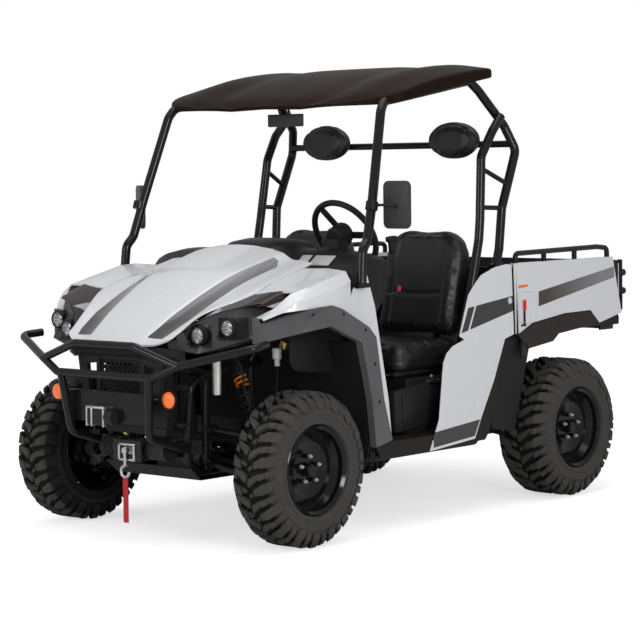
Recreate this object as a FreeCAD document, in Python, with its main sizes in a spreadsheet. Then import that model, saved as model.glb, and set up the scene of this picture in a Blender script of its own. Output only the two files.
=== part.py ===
"""Side by side utility vehicle: two seats, open cab, tipping cargo bed.

Units are millimetres. X points forward, Y to the left and Z up. The origin is on the
ground, half way along the vehicle, on its centre plane.
"""
import FreeCAD, Part
import math
import os

import Sketcher
from FreeCAD import Placement, Rotation, Vector

SIZES = {
    # overall
    "wheelbase": 1892,
    "front_overhang": 504,
    "rear_overhang": 504,
    "body_half_width": 720,
    # wheels
    "tyre_diameter": 660,
    "front_tyre_width": 229,
    "rear_tyre_width": 279,
    "front_track": 1340,
    "rear_track": 1290,
    "lug_height": 15,
    "lug_width": 44,
    "lug_skew": 20,
    "lug_count": 18,
    "rim_diameter": 380,
    "rim_wall": 5,
    "rim_gap": 0.3,
    "hub_face_depth": 66,
    "hub_diameter": 150,
    "lug_circle": 114,
    "lug_bolt_count": 5,
    "lug_bolt_diameter": 20,
    "disc_diameter": 210,
    "disc_thickness": 5,
    "kingpin_half_spacing": 590,
    # tubes
    "frame_tube": 40,
    "frame_post": 36,
    "cage_tube": 42,
    "cross_tube": 32,
    "rung_tube": 22,
    "bumper_tube": 35,
    "rail_tube": 25,
    "arm_tube": 28,
    "rod_tube": 18,
    # frame
    "rail_height": 290,
    "rail_half_spacing": 230,
    "sill_rail_half_spacing": 630,
    "bed_rail_height": 660,
    # body
    "panel_wall": 6,
    "seam": 5,
    "cage_half_width": 646,
    "roof_wall": 26,
    # cab
    "seat_half_spacing": 350,
    "seat_width": 500,
    "seat_height": 700,
    "steering_wheel_diameter": 360,
    "steering_grip": 28,
    # bed
    "bed_half_width": 728,
    "bed_top": 1135,
    "bed_floor": 800,
    "bed_wall": 22,
    "bed_front": -500,
    "bed_rear": -1365,
    "tailgate_wall": 30,
    "bed_hinge_x": -1165,
    "bed_hinge_z": 725,
    "hinge_pin": 16,
    # bonnet
    "hood_wall": 8,
    "hood_hinge_x": 590,
    "hood_hinge_z": 1210,
}

document = FreeCAD.newDocument("SideBySideVehicle")
sheet = document.addObject("Spreadsheet::Sheet", "Sizes")
for row, (alias, amount) in enumerate(SIZES.items(), start=1):
    sheet.set(f"A{row}", alias)
    sheet.set(f"B{row}", str(amount))
    sheet.setAlias(f"B{row}", alias)
document.recompute()

NODES = []


def size(name):
    """Return one driving dimension from the sheet."""
    return float(sheet.get(name))


FRONT_AXLE = size("wheelbase") / 2
REAR_AXLE = -FRONT_AXLE
TYRE_RADIUS = size("tyre_diameter") / 2
WALL = size("panel_wall")
BUMPER_X = FRONT_AXLE + size("front_overhang")
TAIL_X = REAR_AXLE - size("rear_overhang")
FRAME_NOSE = FRONT_AXLE + 230
FLOOR = size("rail_height") + 30 + size("frame_tube") / 2 + 0.3
FLOOR_TOP = FLOOR + WALL
SILL_TOP = FLOOR_TOP + 45.7
SEAT_GAP = 0.3
HOOD_EAR_Y = 200
ARM_PIVOTS = {"front": (110, -170), "rear": (190, -150)}
SIDE = size("body_half_width")
SEAM = size("seam")


def fx(distance):
    """Station along X measured forward from the front axle."""
    return FRONT_AXLE + distance


def rx(distance):
    """Station along X measured forward from the rear axle."""
    return REAR_AXLE + distance


def origin_feature(body, role):
    """Return the origin plane or axis of a body by its role."""
    return next(item for item in body.Origin.OriginFeatures if item.Role == role)


def closed_sketch(body, name, role, outline, offset=0.0):
    """Draw a closed outline of straight lines, fully placed by its dimensions."""
    sketch = body.newObject("Sketcher::SketchObject", name)
    sketch.AttachmentSupport = [(origin_feature(body, role), "")]
    sketch.MapMode = "FlatFace"
    sketch.AttachmentOffset = Placement(Vector(0, 0, offset), Rotation())
    count = len(outline)
    for index in range(count):
        start = Vector(*outline[index], 0)
        end = Vector(*outline[(index + 1) % count], 0)
        sketch.addGeometry(Part.LineSegment(start, end), False)
    rules = []
    for index in range(count):
        rules.append(Sketcher.Constraint("Coincident", index, 2, (index + 1) % count, 1))
        rules.append(Sketcher.Constraint("DistanceX", -1, 1, index, 1, outline[index][0]))
        rules.append(Sketcher.Constraint("DistanceY", -1, 1, index, 1, outline[index][1]))
    sketch.addConstraint(rules)
    return sketch


def new_body(name):
    """Start a body that becomes one sub-part."""
    body = document.addObject("PartDesign::Body", name)
    body.Label = name
    NODES.append(body)
    return body


def pad(body, sketch, length):
    """Pad a sketch by a length, given as a number or as an expression of the sheet."""
    feature = body.newObject("PartDesign::Pad", sketch.Name + "Pad")
    feature.Profile = sketch
    set_length(feature, "Length", length)
    return feature


def set_length(feature, attribute, length):
    """Set a length to a number, or bind it to an expression of the sheet."""
    if isinstance(length, str):
        feature.setExpression(attribute, length)
    else:
        setattr(feature, attribute, length)


def side_plate(name, outline, outer_y, length):
    """Pad an XZ outline from outer_y towards the right side by a length."""
    body = new_body(name)
    pad(body, closed_sketch(body, name + "Outline", "XZ_Plane", outline, -outer_y), length)
    return body


def revolve(body, sketch, role="Y_Axis"):
    """Turn a sketch right round one axis of the body's origin."""
    feature = body.newObject("PartDesign::Revolution", sketch.Name + "Turned")
    feature.Profile = sketch
    feature.ReferenceAxis = (origin_feature(body, role), [""])
    feature.Angle = 360
    return feature


def polar(body, feature, count, role="Y_Axis"):
    """Repeat a feature evenly round one axis of the body's origin."""
    pattern = body.newObject("PartDesign::PolarPattern", feature.Name + "Pattern")
    pattern.Originals = [feature]
    pattern.Axis = (origin_feature(body, role), [""])
    pattern.Angle = 360
    pattern.setExpression("Occurrences", count)
    body.Tip = pattern
    return pattern


def add_shape(name, shape, placement=None):
    """Add a sub-part whose shape is made by the functions below."""
    feature = document.addObject("Part::Feature", name)
    feature.Label = name
    feature.Shape = shape
    if placement is not None:
        feature.Placement = placement
    NODES.append(feature)
    return feature


def mirrored(shape):
    """Return the right-hand twin of a left-hand shape."""
    return shape.mirror(Vector(0, 0, 0), Vector(0, 1, 0))


def both_sides(shape):
    """Return a left-hand shape and its right-hand twin as one compound."""
    return Part.makeCompound([shape, mirrored(shape)])


def fuse(shapes):
    """Join shapes, and stop if a piece got lost on the way."""
    if len(shapes) == 1:
        return shapes[0]
    joined = shapes[0].multiFuse(shapes[1:])
    largest = max(shape.Volume for shape in shapes)
    if joined.Volume < largest - 1:
        raise RuntimeError("a joined shape lost volume")
    return joined


def vectors(points):
    """Turn tuples into vectors."""
    return [Vector(*point) for point in points]


def bent_path(points, radius):
    """Join points by straight runs, with an arc of one radius at each bend."""
    spots = vectors(points)
    edges = []
    last = spots[0]
    for before, corner, after in zip(spots, spots[1:], spots[2:]):
        incoming = (before - corner).normalize()
        outgoing = (after - corner).normalize()
        angle = incoming.getAngle(outgoing)
        reach = radius / math.tan(angle / 2)
        limit = 0.48 * min((before - corner).Length, (after - corner).Length)
        reach = min(reach, limit)
        bend = reach * math.tan(angle / 2)
        bisector = (incoming + outgoing).normalize()
        middle = corner + bisector * (bend / math.sin(angle / 2) - bend)
        start = corner + incoming * reach
        end = corner + outgoing * reach
        edges.append(Part.LineSegment(last, start).toShape())
        edges.append(Part.Arc(start, middle, end).toShape())
        last = end
    edges.append(Part.LineSegment(last, spots[-1]).toShape())
    return Part.Wire(edges)


def tube(points, diameter, radius=80.0):
    """Sweep a round bar along bent runs."""
    path = bent_path(points, radius)
    spots = vectors(points)
    ring = Part.Wire([Part.Circle(spots[0], spots[1] - spots[0], diameter / 2).toShape()])
    return path.makePipeShell([ring], True, False)


def mirror_points(points):
    """Return points on the right-hand side from those on the left."""
    return [(x, -y, z) for x, y, z in points]


def tubes(runs, diameter, radius=80.0):
    """Make left and right tubes of each run."""
    made = []
    for run in runs:
        made.append(tube(run, diameter, radius))
        made.append(tube(mirror_points(run), diameter, radius))
    return made


def box(x_min, x_max, y_min, y_max, z_min, z_max):
    """Make a block between two corners."""
    return Part.makeBox(x_max - x_min, y_max - y_min, z_max - z_min, Vector(x_min, y_min, z_min))


def rod(start, end, diameter):
    """Make a round bar between two points."""
    first = Vector(*start)
    run = Vector(*end) - first
    return Part.makeCylinder(diameter / 2, run.Length, first, run)


def polygon(points):
    """Make a closed wire through points."""
    spots = vectors(points)
    return Part.makePolygon(spots + spots[:1])


def prism(outline, plane, start, end):
    """Extrude an outline in the XZ, XY or YZ plane between two offsets."""
    place = {
        "XZ": lambda a, b: (a, start, b),
        "XY": lambda a, b: (a, b, start),
        "YZ": lambda a, b: (start, a, b),
    }[plane]
    along = {"XZ": Vector(0, 1, 0), "XY": Vector(0, 0, 1), "YZ": Vector(1, 0, 0)}[plane]
    face = Part.Face(polygon([place(*point) for point in outline]))
    return face.extrude(along * (end - start))


def loft(wires, ruled=True):
    """Skin a row of closed wires into a solid."""
    return Part.makeLoft(wires, True, ruled)


def shell_section(x, ridge, wall):
    """Close an open YZ ridge line, left to right, into a strip of one wall below it."""
    lower = [(y, z - wall) for y, z in reversed(ridge)]
    return polygon([(x, y, z) for y, z in list(ridge) + lower])


def full_ridge(half):
    """Mirror the left half of a ridge, listed from the centre outwards, to the right."""
    right = [(-y, z) for y, z in reversed(half) if y > 0]
    return right + list(half)


# Wheels


def facet_ring(stations):
    """Make a ring with one plane facet for each lug, from side offsets and flat-to-centre radii."""
    sides = int(size("lug_count"))
    rows = []
    for y, radius in stations:
        corner = radius / math.cos(math.pi / sides)
        angles = [math.pi * (2 * index + 1) / sides for index in range(sides)]
        rows.append([(corner * math.sin(angle), y, corner * math.cos(angle)) for angle in angles])
    faces = [Part.Face(polygon(rows[0])), Part.Face(polygon(rows[-1]))]
    for near, far in zip(rows, rows[1:]):
        for index in range(sides):
            faces.append(Part.Face(polygon([near[index - 1], near[index], far[index], far[index - 1]])))
    return Part.makeSolid(Part.makeShell(faces))


def lug(half, side, angle):
    """Make one tread lug, skewed to form half a chevron, at an angle round the tyre."""
    top = TYRE_RADIUS
    profile = [(9, top - size("lug_height") - 4), (9, top), (half - 46, top), (half - 5, top - 46),
               (half - 50, top - 50)]
    wide = size("lug_width") / 2
    block = prism(profile, "YZ", -wide, wide)
    block.rotate(Vector(0, half / 2, 0), Vector(0, 0, 1), size("lug_skew"))
    if side < 0:
        block = mirrored(block)
    block.rotate(Vector(), Vector(0, 1, 0), angle)
    return block


def tyre(name, width, centre, mirrored_side):
    """Tyre: faceted carcass with a row of skewed lugs on each shoulder, bored to sit on its rim."""
    half = size(width) / 2
    lip = size("rim_diameter") / 2
    gap = size("rim_gap")
    crown = TYRE_RADIUS - size("lug_height")
    outer = [(half - 17, lip + gap + 3), (half - 2, lip + 55), (half - 14, crown - 34), (half - 62, crown)]
    carcass = facet_ring([(-y, radius) for y, radius in outer] + outer[::-1])
    plug = facet_ring([(17 - half, lip + gap), (26 - half, lip - 12 + gap), (half - 26, lip - 12 + gap),
                       (half - 17, lip + gap)])
    step = 360 / size("lug_count")
    lugs = []
    for index in range(int(size("lug_count"))):
        lugs.append(lug(half, 1, 180 + index * step))
        lugs.append(lug(half, -1, 180 + index * step))
    shape = fuse([carcass] + lugs).cut(plug)
    add_shape(name, shape, wheel_placement(centre, mirrored_side))


def rim(name, width, centre, hub_inner, mirrored_side):
    """Pressed steel rim with its dished disc, hub, brake disc, cap and wheel nuts."""
    half = size(width) / 2
    lip = size("rim_diameter") / 2
    wall = size("rim_wall")
    edge = half - 17
    seat = lip - 12
    well = seat - 18
    face = edge - size("hub_face_depth")
    hub = size("hub_diameter") / 2
    disc = size("disc_diameter") / 2
    inner = hub_inner - centre[1]
    disc_y = inner + 12
    body = new_body(name)
    outline = [
        (-edge, lip),
        (-edge + 8, seat),
        (-edge + 34, seat),
        (-edge + 50, well),
        (face - 2, well),
        (edge - 34, seat),
        (edge - 8, seat),
        (edge, lip),
        (edge + 3, lip - wall + 1),
        (edge - 8, seat - wall),
        (edge - 32, seat - wall),
        (face + 4, well - wall),
        (face + 16, well - 40),
        (face, hub),
        (face, 32),
        (face + 14, 28),
        (face + 14, 0),
        (inner, 0),
        (inner, 42),
        (disc_y, 42),
        (disc_y, disc),
        (disc_y + size("disc_thickness"), disc),
        (disc_y + size("disc_thickness"), 60),
        (face - wall, 60),
        (face - wall, hub),
        (face + 10, well - 42),
        (face - 4, well - wall),
        (-edge + 48, well - wall),
        (-edge + 32, seat - wall),
        (-edge + 8, seat - wall),
        (-edge - 3, lip - wall + 1),
    ]
    revolve(body, closed_sketch(body, name + "Section", "YZ_Plane", outline))
    document.recompute()
    nut = body.newObject("Sketcher::SketchObject", name + "Nut")
    nut.AttachmentSupport = [(origin_feature(body, "XZ_Plane"), "")]
    nut.MapMode = "FlatFace"
    nut.AttachmentOffset = Placement(Vector(0, 0, -(face - 1)), Rotation())
    place = Vector(0, size("lug_circle") / 2, 0)
    nut.addGeometry(Part.Circle(place, Vector(0, 0, 1), size("lug_bolt_diameter") / 2), False)
    stud = pad(body, nut, 22)
    stud.Reversed = True
    document.recompute()
    polar(body, stud, "Sizes.lug_bolt_count")
    body.Placement = wheel_placement(centre, mirrored_side)
    return body


HUB_INNER = {"front": size("kingpin_half_spacing") + 17, "rear": size("rear_track") / 2 - 38}


def wheel_placement(centre, mirrored_side):
    """Place a wheel, turned half round on the right so that its face is outboard."""
    x, y, z = centre
    if mirrored_side:
        return Placement(Vector(x, -y, z), Rotation(Vector(0, 0, 1), 180))
    return Placement(Vector(x, y, z), Rotation())


def wheels():
    """Four wheels, each a tyre on its rim."""
    corners = {
        "front": (FRONT_AXLE, size("front_track") / 2, "front_tyre_width"),
        "rear": (REAR_AXLE, size("rear_track") / 2, "rear_tyre_width"),
    }
    for end, (x, y, width) in corners.items():
        for side in ("left", "right"):
            centre = (x, y, TYRE_RADIUS)
            tyre(f"tyre_{end}_{side}", width, centre, side == "right")
            rim(f"rim_{end}_{side}", width, centre, HUB_INNER[end], side == "right")


# Frame, cage and bumper


def frame():
    """Welded tube frame in three sub-parts: rails, front tower and rear tower."""
    rail = size("rail_height")
    half = size("rail_half_spacing")
    sill = size("sill_rail_half_spacing")
    bed = size("bed_rail_height")
    bar = size("frame_tube")
    post = size("frame_post")
    brace = size("cross_tube")
    ahead, behind = (fx(reach) for reach in ARM_PIVOTS["front"])
    rear_ahead, rear_behind = (rx(reach) for reach in ARM_PIVOTS["rear"])
    pillar = SIDE - WALL - SEAT_GAP
    cowl = rail + 767
    rails = tubes([
        [(behind - 60, half, rail + 460), (fx(200), half, rail + 400), (FRAME_NOSE, half, rail + 60),
         (fx(165), half, rail), (rear_behind - 10, half, rail)],
        [(fx(-440), half, rail), (fx(-510), sill, rail + 30), (-320, sill, rail + 30), (rx(400), half, rail)],
    ], bar, 60)
    rails += tubes([[(0, sill, rail + 30), (0, half, rail)]], post)
    rails += cross_tubes([(fx(-110), half, rail), (fx(-440), half, rail), (0, half, rail), (rx(400), half, rail),
                          (rear_behind, half, rail), (FRAME_NOSE, half, rail + 80)], post)
    hitch = box(TAIL_X, rear_behind, -32, 32, rail - 32, rail + 32)
    socket = box(TAIL_X - 1, TAIL_X + 200, -25.5, 25.5, rail - 25.5, rail + 25.5)
    rails = fuse(rails + [hitch]).cut(socket)
    front = tubes([
        [(behind, half, rail), (behind, half, rail + 460), (fx(-350), half + 60, rail + 760)],
        [(ahead, half, rail), (ahead, half, rail + 408)],
        [(fx(-510), sill, rail + 30), (fx(-500), SIDE - 66, rail + 280),
         (fx(-420), SIDE - 42, rail + 690), (fx(-356), SIDE - 30, rail + 800)],
    ], post, 60)
    front += cross_tubes([(fx(-356), pillar, cowl)], post)
    front.append(rod((fx(330), -283.5, rail + 500), (fx(330), 283.5, rail + 500), brace))
    for side in (1, -1):
        front.append(rod((fx(100), side * half, rail + 430), (fx(330), side * half, rail + 500), brace))
        front.append(rod((fx(330), side * 180, rail + 500), (fx(369.7), side * 180, rail + 500), 16))
        front.append(hood_bracket(side, cowl))
    rear = tubes([
        [(-400, half, bed), (size("bed_hinge_x") - 10, half, bed)],
        [(-400, sill + 10, rail + 410), (-150, sill + 10, rail + 410), (-150, sill, rail + 30)],
    ], bar, 60)
    rear += tubes([
        [(-320, sill, rail + 30), (-400, sill + 10, rail + 400), (-400, SIDE - 36, rail + 822)],
        [(rear_ahead, half, rail), (rear_ahead, half, bed)],
        [(rear_behind, half, rail), (rear_behind, half, bed)],
    ], post, 60)
    rear += cross_tubes([(-400, sill + 10, rail + 400), (rx(-190), half, bed)], post)
    rear += [hinge_ear(side, half, bed) for side in (1, -1)]
    add_shape("frame_rails", rails)
    add_shape("frame_front", fuse(front).cut(rails))
    add_shape("frame_rear", fuse(rear).cut(rails))


def cross_tubes(spots, diameter):
    """Make straight cross tubes between mirrored spots."""
    return [rod((x, -y, z), (x, y, z), diameter) for x, y, z in spots]


def hood_bracket(side, bar_z):
    """Make one upright on the cowl bar with the pin of the bonnet's hinge."""
    x = size("hood_hinge_x")
    z = size("hood_hinge_z")
    inner = HOOD_EAR_Y + 5
    web = box(x - 9, x + 9, inner, inner + 8, bar_z, z)
    eye = rod((x, inner, z), (x, inner + 8, z), 20)
    pin = rod((x, HOOD_EAR_Y - 6, z), (x, inner + 4, z), 12)
    bracket = fuse([web, eye, pin])
    return bracket if side > 0 else mirrored(bracket)


def hinge_ear(side, half, bed):
    """Make one bored ear that carries the bed's hinge pin beside its bearer."""
    x = size("bed_hinge_x")
    inner = half + 21
    outer = half + 29
    base = box(x - 10, x + 22, half, outer, bed - 5, bed + 19)
    plate = box(x - 22, x + 22, inner, outer, bed - 5, size("bed_hinge_z") + 22)
    hole = rod((x, half, size("bed_hinge_z")), (x, outer + 1, size("bed_hinge_z")), size("hinge_pin") + 0.6)
    ear = base.fuse(plate).cut(hole)
    return ear if side > 0 else mirrored(ear)


def skid_plate():
    """Bent plate under the rails, turned up at the front."""
    top = size("rail_height") - size("frame_tube") / 2 - 0.3
    wall = 4
    body = new_body("skid_plate")
    outline = [
        (rx(-140), top), (fx(173), top), (fx(233), top + 55), (fx(236), top + 51),
        (fx(175), top - wall), (rx(-140), top - wall),
    ]
    half = size("rail_half_spacing") + 30
    pad(body, closed_sketch(body, "SkidSide", "XZ_Plane", outline, -half), 2 * half)


def cage_front_run():
    """List the bends of one outer cage tube, from its front foot over the roof to the rear."""
    y = size("cage_half_width")
    return [(fx(-344), SIDE + 14, 1095), (fx(-357), SIDE + 9, 1237), (fx(-397), SIDE + 3, 1278),
             (fx(-453), SIDE - 13, 1449), (fx(-578), y + 10, 1836), (fx(-612), y, 1880),
             (fx(-700), y, 1893), (-308, y - 26, 1980), (-364, y - 16, 1936),
             (-517, y + 14, 1777), (-555, SIDE - 20, 1661), (-515, SIDE - 18, 1569),
             (-437, SIDE - 15, 1394), (-420, SIDE - 20, 1205), (-412, SIDE - 31, 1135)]


def cage():
    """Roll cage: front hoop, roof rails, double rear posts with rungs and cross bars."""
    y = size("cage_half_width")
    bar = size("cage_tube")
    foot = size("rail_height") + 430.3
    sill = size("sill_rail_half_spacing")
    inner = [(-474, y + 30, 1819), (-405, y + 32, 1749), (-332, y + 22, 1633), (-296, y + 40, 1347),
             (-280, y + 44, 1251), (-214, y + 44, 1010), (-210, sill + 10, foot + 80), (-210, sill + 10, foot)]
    parts = tubes([cage_front_run(), inner], bar, 60)
    rungs = [[(-480, SIDE - 17, 1506), (-326, y + 25, 1580)],
             [(-437, SIDE - 15, 1394), (-303, y + 36, 1400)]]
    for start, end in rungs:
        parts += [rod(start, end, size("rung_tube")),
                  rod(*mirror_points([start, end]), size("rung_tube"))]
    crosses = [((fx(-660), y, 1887), bar), ((-308, y - 26, 1980), bar),
               ((-535, y + 40, 1690), size("cross_tube"))]
    parts += [rod((x, -w, z), (x, w, z), thick) for (x, w, z), thick in crosses]
    feet = [box(fx(-372), fx(-316), SIDE - 9.5, SIDE + 38, 1078, 1098), box(-440, -384, SIDE - 54, SIDE - 8, 1116.5, 1136)]
    parts += feet + [mirrored(foot_plate) for foot_plate in feet]
    add_shape("cage", fuse(parts))


def bumper():
    """Front bumper: upper loop, lower bar with arms, uprights, struts and winch plate."""
    bar = size("bumper_tube")
    x = BUMPER_X - bar / 2
    loop = [(x - 30, 412, 782), (x, 179, 859), (x, -179, 859), (x - 30, -412, 782)]
    lower = [(fx(215), 690, 868), (fx(312), 716, 860), (x - 30, 412, 782), (x, 291, 730),
             (x, -291, 730), (x - 30, -412, 782), (fx(312), -716, 860), (fx(215), -690, 868)]
    leg = [(x, 270, 730), (x - 28, 238, 470), (FRAME_NOSE + 30, 230, 410)]
    parts = [tube(loop, bar, 50), tube(lower, bar, 50)]
    parts += tubes([leg], bar, 50)
    parts.append(box(x - 50, x - 46, -240, 240, 520, 655))
    parts.append(box(x - 46, x - 20, 226, 240, 520, 655))
    parts.append(box(x - 46, x - 20, -240, -226, 520, 655))
    for side in (1, -1):
        centre = side * 230
        parts.append(box(FRAME_NOSE + 4, FRAME_NOSE + 34, centre - 26, centre + 26, 392, 440))
        parts.append(rod((x - 18, side * 250, 640), (x - 30, side * 297.7, 640), 12))
    add_shape("bumper", fuse(parts).cut(nose_rails()))


# Running gear

KINGPIN = size("kingpin_half_spacing")
BUSH = 39
PIVOT_Y = size("rail_half_spacing") + size("frame_post") / 2 + BUSH / 2 + SEAT_GAP
LOWER_BALL = TYRE_RADIUS - 95
UPPER_BALL = TYRE_RADIUS + 105
STUD = 16
TIE_ARM = 110
TIE_Y = KINGPIN
TIE_Z = TYRE_RADIUS + 70


def ring(x, y, z_min, z_max, outer, inner):
    """Make an upright ring."""
    spot = Vector(x, y, z_min)
    solid = Part.makeCylinder(outer / 2, z_max - z_min, spot)
    return solid.cut(Part.makeCylinder(inner / 2, z_max - z_min, spot))


def arm(axle, pivots, outer, inner_z, outer_z, socket):
    """Make one A-arm: two legs from bushes on the frame to the ball socket."""
    bar = size("arm_tube")
    parts = []
    for reach in pivots:
        x = axle + reach
        parts.append(rod((x - 22, PIVOT_Y, inner_z), (x + 22, PIVOT_Y, inner_z), BUSH))
        parts.append(rod((x, PIVOT_Y, inner_z), (axle, outer, outer_z), bar))
    hub = Part.makeCylinder(20, 26, Vector(axle, outer, outer_z - 13))
    solid = fuse(parts + [hub])
    if socket:
        solid = solid.cut(Part.makeCylinder(STUD / 2 + 0.5, 60, Vector(axle, outer, outer_z - 30)))
    return solid


def control_arms():
    """Eight A-arms of the double wishbone suspension."""
    made = []
    for end, axle, outer in (("front", FRONT_AXLE, KINGPIN), ("rear", REAR_AXLE, REAR_BALL)):
        for inner_z, outer_z in ((TYRE_RADIUS, LOWER_BALL), (TYRE_RADIUS + 150, UPPER_BALL)):
            made.append(arm(axle, ARM_PIVOTS[end], outer, inner_z, outer_z, True))
    compound = Part.makeCompound(made + [mirrored(shape) for shape in made])
    add_shape("control_arms", compound)


REAR_BALL = size("rear_track") / 2 - 105


def upright(axle, y, face, with_arm):
    """Make a wheel carrier: bearing housing, ball studs and, in front, its steering arm."""
    z = TYRE_RADIUS
    outward = Vector(0, 1, 0)
    housing = Part.makeCylinder(46, face - y + 20, Vector(axle, y - 20, z), outward)
    lower = box(axle - 18, axle + 18, y - 14, y + 14, LOWER_BALL + 22, z - 30)
    upper = box(axle - 18, axle + 18, y - 14, y + 14, z + 30, UPPER_BALL - 22)
    studs = [rod((axle, y, LOWER_BALL - 10), (axle, y, z - 36), STUD),
             rod((axle, y, z + 36), (axle, y, UPPER_BALL + 10), STUD)]
    caliper = box(axle - 122, axle - 66, face - 2, face + 32, z - 50, z + 50)
    slot = box(axle - 109, axle - 50, face + 8, face + 22, z - 51, z + 51)
    bridge = box(axle - 90, axle - 30, face - 14, face - 2, z - 34, z + 34)
    parts = [housing, lower, upper, caliper.cut(slot), bridge] + studs
    if with_arm:
        parts.append(rod((axle, y - 5, TIE_Z - 22), (axle - TIE_ARM, TIE_Y, TIE_Z - 22), 22))
        parts.append(rod((axle - TIE_ARM, TIE_Y, TIE_Z - 33), (axle - TIE_ARM, TIE_Y, TIE_Z + 14), STUD))
    bore = rod((axle, y - 21, z), (axle, face - 2, z), 68)
    return fuse(parts).cut(bore)


def knuckles():
    """Front wheel carriers, which turn about the kingpins, and fixed rear ones."""
    left = upright(FRONT_AXLE, KINGPIN, HUB_INNER["front"] - 0.3, True)
    add_shape("knuckle_left", left)
    add_shape("knuckle_right", mirrored(left))
    rear = upright(REAR_AXLE, REAR_BALL, HUB_INNER["rear"] - 0.3, False)
    add_shape("rear_uprights", both_sides(rear))


def tie_rods():
    """Rods from the rack to the steering arms, each with a ring on the arm's stud."""
    x = FRONT_AXLE - TIE_ARM
    eye = ring(x, TIE_Y, TIE_Z - 8, TIE_Z + 8, 36, STUD + 1)
    bar = rod((x, TIE_Y - 14, TIE_Z), (x, 200, TIE_Z), size("rod_tube"))
    left = fuse([eye, bar]).cut(Part.makeCylinder(STUD / 2 + 0.5, 40, Vector(x, TIE_Y, TIE_Z - 20)))
    add_shape("tie_rod_left", left)
    add_shape("tie_rod_right", mirrored(left))


def steering_rack():
    """Rack housing across the frame, open at both ends for the tie rods."""
    x = FRONT_AXLE - TIE_ARM + 6.5
    tie_bar = size("rail_height") + size("frame_post") / 2 + SEAT_GAP
    outside = rod((x, -300, TIE_Z), (x, 300, TIE_Z), 58)
    bores = [rod((x, side * 130, TIE_Z), (x, side * 301, TIE_Z), 50) for side in (1, -1)]
    feet = [box(x - 18, x + 6, side * 60 - 12, side * 60 + 12, tie_bar, TIE_Z) for side in (1, -1)]
    add_shape("steering_rack", fuse([outside] + feet).cut(fuse(bores)))


def shock(top, bottom):
    """Make a coil-over: eyes, damper and spring between two points."""
    start = Vector(*bottom)
    run = Vector(*top) - start
    along = Vector(*run).normalize()
    parts = [rod(bottom, top, 20)]
    stations = [(0.12, 0.2, 52), (0.2, 0.74, 60), (0.74, 0.9, 46)]
    for first, last, diameter in stations:
        parts.append(rod(tuple(start + run * first), tuple(start + run * last), diameter))
    for spot in (start, start + run):
        parts.append(rod((spot.x - 16, spot.y, spot.z), (spot.x + 16, spot.y, spot.z), 34))
    return fuse(parts)


def shock_absorbers():
    """Four coil-overs from the lower arms to the frame."""
    top_y = size("rail_half_spacing") + size("frame_tube") / 2 + 17 + SEAT_GAP
    front = shock((fx(-48), top_y, size("rail_height") + 440), (fx(-48), 470, 303))
    rear = shock((rx(60), top_y, size("bed_rail_height")), (rx(60), 440, 303))
    add_shape("shock_absorbers", Part.makeCompound([front, mirrored(front), rear, mirrored(rear)]))


def drive_shafts():
    """Half shafts with their boots at each wheel, and the propeller shaft."""
    made = []
    for axle, inner, outer in ((FRONT_AXLE, 130.3, KINGPIN), (REAR_AXLE, 140.3, REAR_BALL)):
        z = TYRE_RADIUS
        made.append(fuse([
            rod((axle, inner, z), (axle, outer, z), 24),
            Part.makeCone(42, 20, 60, Vector(axle, inner, z), Vector(0, 1, 0)),
            Part.makeCone(18, 28, 50, Vector(axle, outer - 98, z), Vector(0, 1, 0)),
            Part.makeSphere(14, Vector(axle, outer, z)),
        ]))
    height = size("rail_height") + size("frame_post") / 2 + 12.5
    prop = rod((fx(-70.3), 0, height), (ENGINE_FRONT + 0.3, 0, height), 24)
    add_shape("drive_shafts", Part.makeCompound(made + [mirrored(part) for part in made] + [prop]))


def gearboxes():
    """Front differential housing and the rear transaxle."""
    low = size("rail_height") - size("frame_tube") / 2
    front = fuse([box(fx(-70), fx(90), -90, 90, low, 400), rod((fx(0), -130, 330), (fx(0), 130, 330), 108)])
    rear = fuse([box(rx(-100), rx(69.7), -120, 120, low, 450), rod((rx(0), -140, 330), (rx(0), 140, 330), 108)])
    add_shape("gearboxes", Part.makeCompound([front, rear]))


ENGINE_LENGTH = 455
ENGINE_FRONT = REAR_AXLE + 70 + ENGINE_LENGTH


def engine():
    """Engine as one plain block behind the seats."""
    block = document.addObject("Part::Box", "engine")
    block.Label = "engine"
    block.Length = ENGINE_LENGTH
    block.Width = 420
    block.Height = 300
    low = size("rail_height") + size("frame_post") / 2 + SEAT_GAP
    block.Placement = Placement(Vector(rx(70), -210, low), Rotation())
    NODES.append(block)


def nose_rails():
    """Room for the two straight rails at the nose, with a seating gap round them."""
    half = size("rail_half_spacing")
    rail = size("rail_height")
    around = size("frame_tube") + 2 * SEAT_GAP
    return fuse([rod((fx(200), side * half, rail + 400), (FRAME_NOSE, side * half, rail + 60), around)
                 for side in (1, -1)])


def radiator():
    """Radiator core with its tanks, upright behind the grille."""
    core = box(fx(262), fx(300), -185, 185, 495, 720)
    tanks = [box(fx(256), fx(306), -185, 185, 720, 750), box(fx(256), fx(306), -185, 185, 465, 495)]
    tabs = [box(fx(218 - 0.088 * (low - 500)), fx(264), side * 210 - 35, side * 210 + 35, low, low + 16)
            for side in (1, -1) for low in (500, 660)]
    add_shape("radiator", fuse([core] + tanks + tabs).cut(nose_rails()))


def exhaust():
    """Silencer across the tail and its pipe from the engine."""
    z = size("bed_rail_height") - size("frame_post") / 2 - 75 - SEAT_GAP
    can = rod((rx(-190), -180, z), (rx(-190), 160, z), 150)
    pipe = tube([(rx(-206), 150, z - 10), (rx(-206), 196, z - 10), (rx(-310), 196, z - 26)], 40, 30)
    link = tube([(rx(69.7), 150, z), (rx(-60), 150, z), (rx(-150), 110, z)], 44, 60)
    add_shape("exhaust", fuse([can, pipe, link]))


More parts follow.
